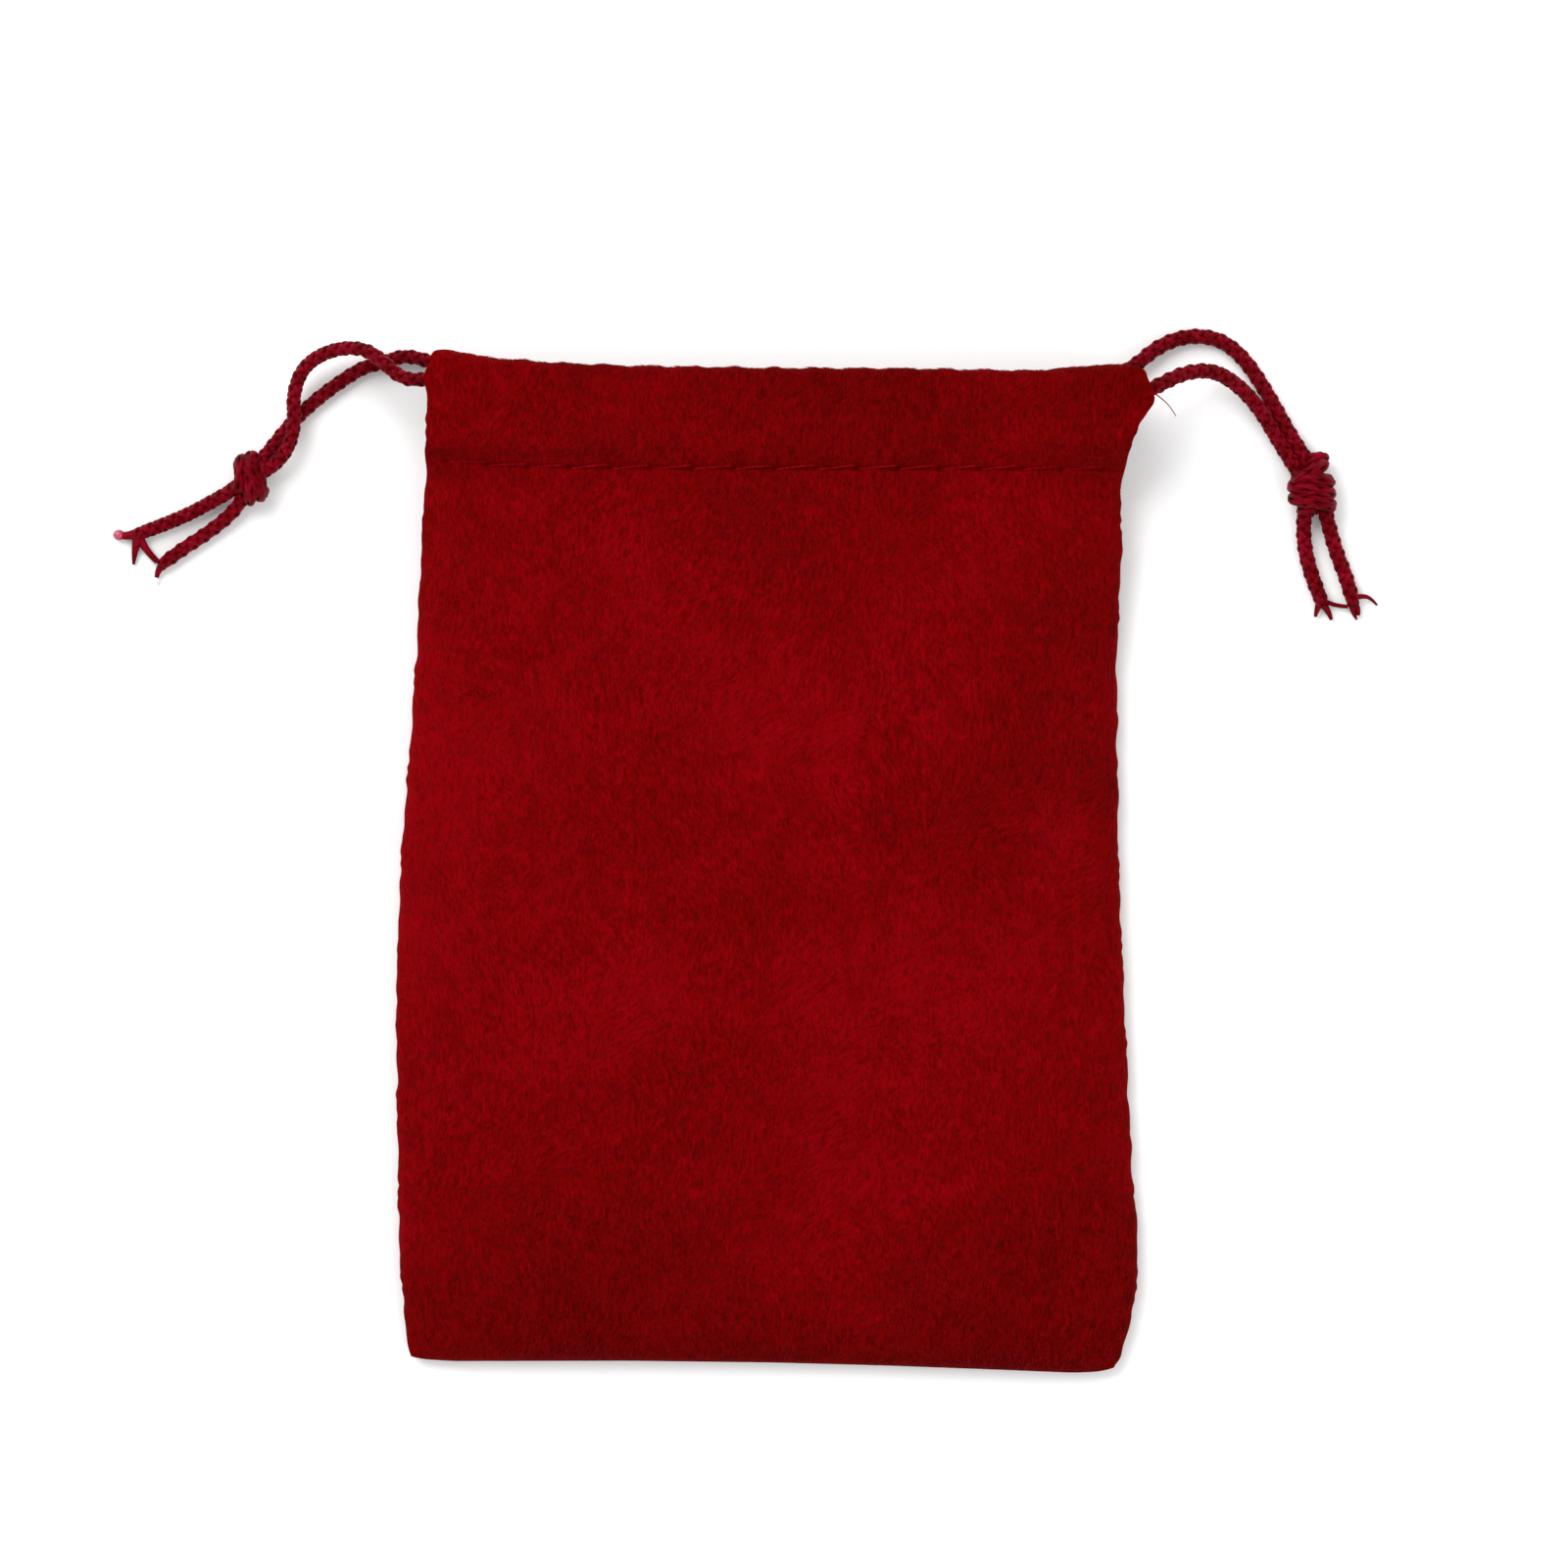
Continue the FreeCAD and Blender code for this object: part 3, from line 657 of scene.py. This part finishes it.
def edges_at(level, mouth_in=(0.0, 0.0)):
    """The sack's left and right edge. mouth_in is how far the mouth is drawn in, left and right."""
    hem = smooth(52.0, 57.0, level)
    left = rounded_outline(LEFT_SIDE, level, 0.9) + hem * mouth_in[0]
    right = rounded_outline(RIGHT_SIDE, level, 0.9) - hem * mouth_in[1]
    return left, right


def bottom_at(x):
    return rounded_outline(BOTTOM_EDGE, x, 1.5)


def layout(level, s, mouth_in=(0.0, 0.0)):
    """Plan position of a point of the cloth, level being its height up the sack and s its place across."""
    left, right = edges_at(level, mouth_in)
    wobble = 0.13 * np.sin(level * 0.9 + 2 * s) * np.sin(level * 0.37 + 1.0)
    wobble = wobble + 0.10 * np.sin(level * 1.9 + 3 * np.sin(level * 0.53)) * np.sin(level * 0.21 + s)
    x = (left + right) / 2 + s * (right - left) / 2 + wobble * np.abs(s) ** 6
    low = bottom_at(x)
    high = rounded_outline(TOP_EDGE, x, 2.0) - HEM_FOLD
    ripple = 0.10 * np.sin(x * 1.05 + 0.6) + 0.06 * np.sin(x * 2.3)
    share = (level - LOW_LEVEL) / (HIGH_LEVEL - LOW_LEVEL)
    y = low + (high + ripple - low) * share
    return x, y


def seam_height(level):
    """Height of the line where the two panels are sewn together at the sides."""
    return SEAM_Z + (SEAM_HEM_Z - SEAM_Z) * smooth(22.0, 54.0, level)


def seam_y(level):
    """The place up the picture of a level of the side seams."""
    return np.interp(level, (LOW_LEVEL, HIGH_LEVEL), SEAM_ENDS_Y)


def stitch_y(x):
    """The hem's row of stitches climbs a little towards its left end."""
    return 53.7 + 1.5 * np.exp((-46.8 - x) / 8.0)


def groove(x, y):
    """The stitching draws the cloth in, most at each needle hole."""
    off = y - stitch_y(x)
    phase = (x - STITCH_FIRST) / STITCH_PITCH
    near = np.abs(phase - np.round(phase)) * STITCH_PITCH
    line = 0.55 * np.exp(-(off / 0.34) ** 2)
    hole = 0.45 * np.exp(-(off / 0.40) ** 2 - (near / 0.42) ** 2)
    pucker = 0.24 * np.exp(-(off / 2.2) ** 2) * (0.5 + 0.5 * np.cos(2 * math.pi * phase))
    return line + hole + pucker


def undulation(x, y, level, s):
    """Soft rises and hollows of limp cloth, calmer at the seams."""
    calm = 1 - smooth(0.86, 1.0, np.abs(s))
    low = smooth(LOW_LEVEL, -60.0, level)
    waves = 0.42 * field(x, y, 33.0, 1.7) + 0.26 * field(x, y, 14.0, 5.1) + 0.11 * field(x, y, 5.5, 8.3)
    small = 0.05 * field(x, y, 2.2, 3.3)
    hem = smooth(50.0, 56.0, level)
    pleats = 0.15 * np.sin(x * 1.12 + 1.3 * np.sin(x * 0.21)) * smooth(38.0, 56.0, level)
    cord_ridge = 0.22 * np.exp(-((y - 63.5) / 2.6) ** 2)
    crumple = 0.28 * np.exp(-((x - 20.0) / 8.0) ** 2 - ((y - 65.2) / 2.2) ** 2) * np.sin(y * 2.1 + x * 0.5)
    sewn = 1 - smooth(0.95, 0.99, np.abs(s)) * (1 - hem)
    return (waves * calm * low * (1 - 0.6 * hem) + small + pleats + cord_ridge + crumple) * sewn


def front_face(level, s):
    """The outer face of the front: the panel's crown and the hem above it."""
    x, y = layout(level, s)
    # The front's edge overlaps the back's a little, so that no gap shows.
    seam = seam_height(level) - 0.2 - 0.2 * smooth(30.0, 46.0, level)
    crown = rounded_outline(CROWN, level, 4.0)
    plump = 8.0 - 5.0 * smooth(-68.0, -40.0, level)
    body = np.clip(1 - np.abs(s) ** plump, 0, 1) ** 0.5
    bottom = np.clip((y - bottom_at(x)) / 4.5, 0, 1)
    body = body * np.sqrt(np.clip(1 - (1 - bottom) ** 2, 0, 1))
    panel = seam + (crown - seam) * body
    hem_top = FRONT_HEM_TOP - x ** 2 / 9000.0
    z = panel + (hem_top - panel) * smooth(51.8, 57.5, y)
    return x, y, z


def with_hem(x, y, z, s, stitched, side):
    """A grid of points of a panel's face, and of its hem: the cloth turned over at the mouth and brought
    back inside, to the height stitched at the row of stitches. side is 1 where the hem's inside lies below
    its face, and -1 where it lies above."""
    points = list(np.stack([x, y, z], axis=-1))
    x, y, z = x[-1], y[-1], z[-1]
    inner_x = s * HEM_INSIDE_HALF
    fold_rows, inside_rows = 14, 29
    for number in range(1, fold_rows + 1):
        angle = math.pi * number / fold_rows
        share = (1 - math.cos(angle)) / 2
        points.append(np.stack([
            x + share * (inner_x - x), y + HEM_FOLD * math.sin(angle) * (1 - 0.25 * abs(math.sin(angle))),
            z - side * HEM_FOLD * (1 - math.cos(angle))], axis=1))
    floor = z - side * HEM_THICK
    for share in np.linspace(0, 1, inside_rows + 1)[1:]:
        back_y = y + share * (HEM_EDGE_Y - y)
        close = 1 - smooth(54.6, 58.5, back_y)
        points.append(np.stack([inner_x, back_y, floor + (stitched - floor) * close], axis=1))
    return np.array(points)


def thick_sheets(name, sheets, materials):
    """One piece of cloth made of closed sheets, each given by its outer points, normals and thickness."""
    all_vertices, all_faces, all_normals, count = [], [], [], 0
    for face, facing, thickness in sheets:
        back = face - facing * thickness
        rows, columns = face.shape[:2]
        vertices = np.concatenate([face.reshape(-1, 3), back.reshape(-1, 3)]) * MM
        index = np.arange(rows * columns).reshape(rows, columns)
        outer = np.stack([index[:-1, :-1], index[:-1, 1:], index[1:, 1:], index[1:, :-1]], axis=-1)
        outer = outer.reshape(-1, 4)
        shift = rows * columns
        inner = outer[:, ::-1] + shift
        ring = np.concatenate([index[0, :-1], index[:-1, -1], index[-1, :0:-1], index[:0:-1, 0]])
        after = np.roll(ring, -1)
        rim = np.stack([ring, ring + shift, after + shift, after], axis=1)
        flat = facing.reshape(-1, 3)
        corners = vertices[rim]
        rim_normals = np.cross(corners[:, 2] - corners[:, 0], corners[:, 3] - corners[:, 1])
        rim_normals /= np.maximum(np.linalg.norm(rim_normals, axis=1), 1e-12)[:, None]
        all_normals += [flat[outer.ravel()], -flat[(inner - shift).ravel()]]
        all_normals.append(np.repeat(rim_normals, 4, axis=0))
        all_vertices.append(vertices)
        all_faces.append(np.concatenate([outer, inner, rim]) + count)
        count += len(vertices)
    vertices = np.concatenate(all_vertices)
    faces = np.concatenate(all_faces)
    mesh = bpy.data.meshes.new(name)
    mesh.from_pydata(vertices.tolist(), [], faces.tolist())
    for material in materials:
        mesh.materials.append(material)
    mesh.polygons.foreach_set("use_smooth", [True] * len(mesh.polygons))
    mesh.update()
    mesh.normals_split_custom_set(np.concatenate(all_normals).tolist())
    return new_object(name, mesh)


def normals_of(points, upward):
    """Unit normals of a grid of points, turned so that its middle faces up or down."""
    down = np.gradient(points, axis=0)
    along = np.gradient(points, axis=1)
    found = np.cross(along, down)
    size = np.linalg.norm(found, axis=2)
    size[size < 1e-9] = 1
    found = found / size[..., None]
    middle_row, middle_column = (len(found) - 1) // 2, points.shape[1] // 2
    if (found[middle_row, middle_column, 2] > 0) != upward:
        found = -found
    # The rim leans like the cloth beside it, so that no corner sticks out.
    found[0] = found[1]
    found[:, 0], found[:, -1] = found[:, 1], found[:, -2]
    return found


def gather(piece, cord_body):
    """The cloth between the sack's middle and a cord's far loop moves with that loop: all of it at the
    loop, none in the middle, and less and less below the hem."""
    side = 1 if cord_body == "left_cord" else -1
    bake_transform(piece, "sack", cord_body, start=(0, 0, 0), end=(side * CORD_EXIT * MM, 0, 0))
    mesh = piece.data
    places = np.zeros(len(mesh.vertices) * 3)
    mesh.vertices.foreach_get("co", places)
    places = places.reshape(-1, 3) / MM
    out = np.clip(side * places[:, 0] / GATHERED, 0, 1.0)
    fall = smooth(-8.0, 54.0, places[:, 1])
    mesh.attributes["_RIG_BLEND"].data.foreach_set("value", (out * fall).astype(np.float32))


def pile(name, points, normals, first, last, rows, body, material, count):
    """Single hairs of the velvet that stand out from the rest, lying along the nap."""
    rng = np.random.default_rng(count + first)
    travelled = distance_along(points[:rows, points.shape[1] // 2])
    row = np.interp(rng.uniform(0, travelled[-1], count), travelled, np.arange(rows))
    row = np.clip(row, 0, rows - 1.001)
    column = rng.uniform(first, last - 0.001, count)
    low_row, low_column = row.astype(int), column.astype(int)
    past_row, past_column = (row - low_row)[:, None], (column - low_column)[:, None]

    def between(grid):
        near = grid[low_row, low_column] * (1 - past_column) + grid[low_row, low_column + 1] * past_column
        far = (grid[low_row + 1, low_column] * (1 - past_column)
               + grid[low_row + 1, low_column + 1] * past_column)
        return near * (1 - past_row) + far * past_row

    at, out = between(points), between(normals)
    # The needle presses the hairs down along the stitches, and the sheet's edges show none.
    stitch_room, inside_below, edge_from, first_row = 0.9, 9.0, 0.965, 2
    clear = (np.abs(at[:, 1] - stitch_y(at[:, 0])) > stitch_room) | (at[:, 2] < inside_below)
    clear &= (np.abs(2 * column / (points.shape[1] - 1) - 1) < edge_from) & (row > first_row)
    at, out = at[clear], out[clear]
    count = len(at)
    out /= np.linalg.norm(out, axis=1)[:, None]
    lean = 1.3 * field(at[:, 0], at[:, 1], 24.0, 12.5) + rng.normal(0, 0.22, count)
    lay = np.stack([np.sin(lean), -np.cos(lean), 0 * lean], axis=1)
    lay -= out * (lay * out).sum(axis=1)[:, None]
    lay /= np.maximum(np.linalg.norm(lay, axis=1), 1e-6)[:, None]
    side = np.cross(out, lay)
    wide, high = 0.055, 0.07
    length = rng.uniform(0.55, 1.25, count)[:, None]
    rise = rng.uniform(0.04, 0.20, count)[:, None]
    tip = at + lay * length + out * rise
    corners = np.stack([at + side * wide, at + out * high, at - side * wide, tip], axis=1)
    index = np.arange(count)[:, None] * 4
    sides = ((0, 2, 1), (0, 1, 3), (1, 2, 3), (2, 0, 3))
    faces = np.concatenate([index + np.array(face) for face in sides])
    mesh = bpy.data.meshes.new(name)
    mesh.from_pydata((corners.reshape(-1, 3) * MM).tolist(), [], faces.tolist())
    mesh.materials.append(material)
    piece = new_object(name, mesh)
    gather(piece, body)
    return piece


def cloth_pieces(name, points, normals, nodes, material, reverse, hair=None, hair_rows=0,
                 hairs=0):
    """A panel with its hem as two pieces, one for each cord that gathers it. reverse is for a face that
    looks down, whose grid has to run the other way to keep its faces outward."""
    if reverse:
        points, normals = points[:, ::-1], normals[:, ::-1]
    columns = points.shape[1]
    middle = columns // 2
    parts = {"left": slice(0, middle + 1), "right": slice(middle, columns)}
    if reverse:
        parts = {"right": parts["left"], "left": parts["right"]}
    for (half, body), node_name in zip(HALVES, nodes):
        part = parts[half]
        piece = thick_sheets(f"{name}_{half}", [(points[:, part], normals[:, part], CLOTH)], [material])
        gather(piece, body)
        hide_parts(node_name)
        if hairs:
            pile(f"{name}_pile_{half}", points, normals, part.start, part.stop - 1,
                              hair_rows, body, hair, hairs)


def front_cloth(material, hair):
    """The front panel and its hem. Gives back a function for the height of its face."""
    rows = levels((LOW_LEVEL, -65.5, 0.3), (-65.5, 50.5, 0.62), (50.5, 56.5, 0.16), (56.5, HIGH_LEVEL, 0.42))
    columns = 269
    level = np.tile(rows[:, None], (1, columns))
    s = places_across(len(rows), columns)
    x, y, z = front_face(level, s)
    z = z + undulation(x, y, level, s) - groove(x, y)
    at_stitches = z[np.argmin(np.abs(rows - STITCH_Y))]
    points = with_hem(x, y, z, s[0], at_stitches - 2 * CLOTH - 0.35, 1)
    fold_rows_with_hair = 11
    cloth_pieces("front_cloth", points, normals_of(points, True), ("front_panel", "front_channel"),
                 material, False, hair=hair,
                 hair_rows=len(rows) + fold_rows_with_hair, hairs=17000)

    def height(wanted_x, wanted_y):
        nearest = np.argmin((x - wanted_x) ** 2 + (y - wanted_y) ** 2)
        return float(z.ravel()[nearest])

    return height


def back_cloth(material):
    """The back panel, flat on the floor and curled up to the side seams, and its hem."""
    rows = levels((LOW_LEVEL, -65.5, 0.3), (-65.5, 50.5, 0.8), (50.5, 56.5, 0.25), (56.5, HIGH_LEVEL, 0.5))
    columns = 201
    level = np.tile(rows[:, None], (1, columns))
    s = places_across(len(rows), columns)
    x, y = layout(level, s, BACK_MOUTH_IN)
    hem = smooth(53.0, 57.0, level)
    seam = seam_height(level) * (1 - hem) + 0.3 * hem
    left, right = edges_at(level, BACK_MOUTH_IN)
    from_edge = np.minimum(x - left, right - x)
    curl = np.clip(1 - from_edge / (1.2 + 0.7 * seam), 0, 1)
    bottom = np.clip((y - bottom_at(x)) / 2.8, 0, 1)
    lift = 1 - np.sqrt(np.clip(1 - np.maximum(curl, 1 - bottom) ** 2, 0, 1))
    z = 0.04 + seam * lift + 0.45 * groove(x, y)
    at_stitches = z[np.argmin(np.abs(rows - STITCH_Y))]
    points = with_hem(x, y, z, s[0], np.minimum(at_stitches, 0.6) + 2 * CLOTH + 0.15, -1)
    cloth_pieces("back_cloth", points, normals_of(points, False), ("back_panel", "back_channel"),
                 material, True)


# -------- stitches and seams
def add_stitch(parts, a, middle, b, sink, thick=THREAD_R):
    """One lockstitch: a thread that comes up at a, lies on the cloth and goes down at b."""
    a, middle, b = np.array(a), np.array(middle), np.array(b)
    sink = np.array(sink)
    points = [a - sink, a - 0.1 * sink, a + (middle - a) * 0.35, middle, b + (middle - b) * 0.35,
              b - 0.1 * sink, b - sink]
    line = spline_points([tuple(p) for p in points], 0.22)
    parts.tube(line, thick, thick * 0.9, np.tile((0.0, 1.0, 0.1), (len(line), 1)), sides=7)


def hem_stitches(name, node_name, height, face, material):
    """The row along a hem, in two pieces that gather with the two halves of the cloth."""
    rng = random.Random(4)
    for half, body in HALVES:
        parts = MeshParts()
        for number in range(STITCHES):
            x = STITCH_FIRST + STITCH_PITCH * number
            middle = x + STITCH_PITCH / 2
            if (middle < 0) != (half == "left"):
                continue
            start, end = x + 0.45, x + STITCH_PITCH - 0.05
            slope = 0.52 + rng.uniform(-0.1, 0.1)
            first = (start, stitch_y(start) - slope / 2 + 0.12)
            centre = (middle, stitch_y(middle) + 0.12 + rng.uniform(-0.05, 0.05))
            last = (end, stitch_y(end) + slope / 2 + 0.12)
            add_stitch(parts, (*first, height(*first) + face * 0.12),
                       (*centre, height(*centre) + face * 0.18),
                       (*last, height(*last) + face * 0.06), (0, 0, face * 0.7), 0.14)
        if half == "right" and face > 0:
            # The loose thread end where the right cord leaves the hem.
            tail = [(49.3, 65.2, 11.4), (51.2, 64.3, 10.9), (52.9, 63.2, 9.6), (54.1, 62.2, 8.0),
                    (54.9, 61.0, 6.9)]
            line = spline_points(tail, 0.2)
            width = np.linspace(0.13, 0.06, len(line))
            parts.tube(line, width, width, np.tile((0.0, 0.3, 1.0), (len(line), 1)), sides=6)
        piece = parts.build(f"{name}_{half}", [material])
        gather(piece, body)
        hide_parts(node_name)


def side_seam(side, allowance_material, thread):
    """Two turned-in edges of cloth lying on the back panel, and the row of stitches through them. side is
    -1 at the left and 1 at the right."""
    name, body = ("left", "right_cord") if side < 0 else ("right", "left_cord")
    rows = levels((-67.0, 51.5, 1.2))
    lowest = 1.0                # height of the lower edge's underside
    width = np.interp(rows, (-70, 12, 34, 46, 54), (8, 8, 5.5, 3, 2))
    left, right = edges_at(rows)
    edge = left if side < 0 else right
    steps = np.linspace(0, 1, 14)
    frayed = 0.12 * np.sin(rows * 3.1) + 0.1 * np.sin(rows * 7.7)
    sheets = []
    for layer in (0, 1):
        grid = []
        for level, reach, outer, fray in zip(rows, width, edge, frayed):
            seam = seam_height(level) - 0.2
            start = outer - side * 1.35
            along = start - side * (reach - 0.25 * layer + fray) * steps
            low = lowest + np.maximum(seam - 1.85, 0) * (1 - steps) ** 3 + layer * (CLOTH + 0.04)
            y = np.full(len(steps), seam_y(level))
            grid.append(np.stack([along, y, low + CLOTH], axis=1))
        grid = np.array(grid)
        if side > 0:
            grid = grid[:, ::-1]
        sheets.append((grid, normals_of(grid, True), CLOTH))
    piece = thick_sheets(f"{name}_seam_allowance", sheets, [allowance_material])
    gather(piece, body)
    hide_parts(f"{name}_side_seam")
    parts = MeshParts()
    level = -66.0
    while level < 48:
        edge_x = np.interp(level, rows, edge) - side * 2.1
        top = lowest + 2 * CLOTH + 0.15 + max(seam_height(level) - 2.05, 0) * 0.8
        y = float(seam_y(level))
        add_stitch(parts, (edge_x, y, top), (edge_x, y + 1.7, top), (edge_x, y + 3.4, top), (0, 0, 0.5))
        level += 5.0
    piece = parts.build(f"{name}_seam_thread", [thread])
    gather(piece, body)
    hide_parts(f"{name}_seam_stitching")


def bottom_seam(allowance_material, thread):
    """The turned-in edges of cloth along the bottom, and their row of stitches."""
    lowest = 0.95
    across_x = np.linspace(-44.8, 42.8, 90)
    steps = np.linspace(0, 1, 9)
    sheets = []
    for layer in (0, 1):
        grid = []
        for step in steps:
            y = bottom_at(across_x) + 1.6 + (3.2 - 0.2 * layer) * step
            y = y + (0.1 * np.sin(across_x * 3.3) if step == 1 else 0)
            low = lowest + 0.2 * (1 - step) ** 3 + layer * (CLOTH + 0.02)
            grid.append(np.stack([across_x, y, np.full(len(across_x), low + CLOTH)], axis=1))
        grid = np.array(grid)
        normals = np.zeros_like(grid)
        normals[..., 2] = 1
        sheets.append((grid, normals, CLOTH))
    piece = thick_sheets("bottom_seam_allowance", sheets, [allowance_material])
    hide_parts("bottom_seam")
    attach(piece, "sack")
    parts = MeshParts()
    for number in range(15):
        x = -42.5 + 5.7 * number
        y = float(bottom_at(x)) + 2.3
        top = lowest + 0.2 + 2 * CLOTH + 0.1
        add_stitch(parts, (x, y, top), (x + 1.7, y, top), (x + 3.4, y, top), (0, 0, 0.5))
    piece = parts.build("bottom_seam_thread", [thread])
    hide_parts("bottom_seam_stitching")
    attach(piece, "sack")


# -------- everything together
make_camera()
make_stage()
make_light()

yarn = yarn_material("nylon_yarn")
yarn_knot = yarn_material("nylon_yarn_knot", 0.95)
melted = melted_material("melted_nylon", (0.30, 0.01, 0.04), (0.44, 0.06, 0.11))
melted_pale = melted_material("melted_pale", (0.85, 0.72, 0.72), (0.95, 0.9, 0.9))
thread = thread_material()
velvet = velvet_material("velvet")
velvet_hair = hair_material()
velvet_edge = velvet_material("velvet_inside", 0.8, 0.9)

left_knot = make_knot(
    "left_knot_tied", "left_knot", "left_cord", LEFT_KNOT_AT, -70,
    [dict(turns=2.3, wide=2.7, high=1.5, pitch=1.4, start=-1.7, lean=-0.75, first_angle=0.6),
     dict(turns=1.1, wide=2.35, high=1.8, pitch=0.9, start=-0.4, lean=0.6, first_angle=2.4)],
    [yarn_knot])
right_knot = make_knot(
    "right_knot_tied", "right_knot", "right_cord", RIGHT_KNOT_AT, 4,
    [dict(turns=3.2, wide=2.45, high=1.55, pitch=1.6, start=-3.1, lean=-0.25, first_angle=2.6),
     dict(turns=1.2, wide=1.9, high=1.7, pitch=0.9, start=1.9, lean=1.25, first_angle=-0.5)],
    [yarn_knot])
make_cord(
    "left_cord_front", LEFT_FRONT, LEFT_GIRTH, ["left_cord_front_strand", "left_front_tail"], "left_cord",
    {"filaments": [
        ([(-87.4, 45.2, 1.1), (-88.8, 44.7, 1.0), (-89.9, 44.9, 0.8)], 0.8, 0.5),
        ([(-87.4, 44.9, 1.0), (-88.0, 43.2, 0.8), (-88.2, 40.9, 0.35)], 0.85, 0.2),
        ([(-87.2, 44.6, 1.0), (-86.7, 43.0, 0.9), (-84.9, 41.3, 0.8)], 0.6, 0.42)],
     "blobs": [((-90.2, 44.95, 0.75), (0.8, 0.75, 0.65), 1)]},
    [yarn, melted])
make_cord(
    "left_cord_back", LEFT_BACK, LEFT_GIRTH, ["left_cord_back_strand", "left_back_tail"], "left_cord",
    {"filaments": [([(-84.3, 40.7, 1.0), (-84.9, 39.9, 0.8), (-85.0, 39.0, 0.6)], 0.6, 0.3)],
     "blobs": [((-85.1, 38.7, 0.6), (0.45, 0.5, 0.45), 2)]},
    [yarn, melted, melted_pale])
make_cord(
    "right_cord_front", RIGHT_FRONT, 1.0, ["right_cord_front_strand", "right_front_tail"], "right_cord",
    {"filaments": [
        ([(75.0, 35.6, 1.1), (74.6, 34.7, 0.9), (74.4, 33.7, 0.6)], 0.6, 0.22),
        ([(75.4, 35.4, 1.1), (76.2, 34.6, 0.9), (76.6, 33.3, 0.6)], 0.6, 0.25),
        ([(75.6, 35.9, 1.0), (76.9, 35.2, 0.8), (78.9, 35.1, 0.8)], 0.35, 0.28)]},
    [yarn, melted])
make_cord(
    "right_cord_back", RIGHT_BACK, 1.0, ["right_cord_back_strand", "right_back_tail"], "right_cord",
    {"filaments": [
        ([(79.5, 35.8, 1.0), (79.4, 34.6, 0.9), (80.1, 33.3, 0.5)], 0.7, 0.14),
        ([(79.6, 35.6, 1.0), (80.4, 34.8, 0.9), (80.3, 33.9, 0.7)], 0.6, 0.25),
        ([(79.5, 36.4, 1.2), (81.0, 36.6, 1.1), (82.1, 36.2, 0.9), (82.9, 35.3, 0.7)], 0.45, 0.16)]},
    [yarn, melted])
make_run(
    "left_cord_run", "left_cord_channel_run", 1, 64.7, LEFT_FRONT[0], LEFT_BACK[0], "left_cord", [yarn])
make_run(
    "right_cord_run", "right_cord_channel_run", -1, 62.2, RIGHT_FRONT[0], RIGHT_BACK[0], "right_cord", [yarn])

front_height = front_cloth(velvet, velvet_hair)
back_cloth(velvet)
hem_stitches("front_hem_thread", "front_hem_stitching", front_height, 1, thread)
hem_stitches("back_hem_thread", "back_hem_stitching", lambda x, y: 0.30, -1, thread)
side_seam(-1, velvet_edge, thread)
side_seam(1, velvet_edge, thread)
bottom_seam(velvet_edge, thread)
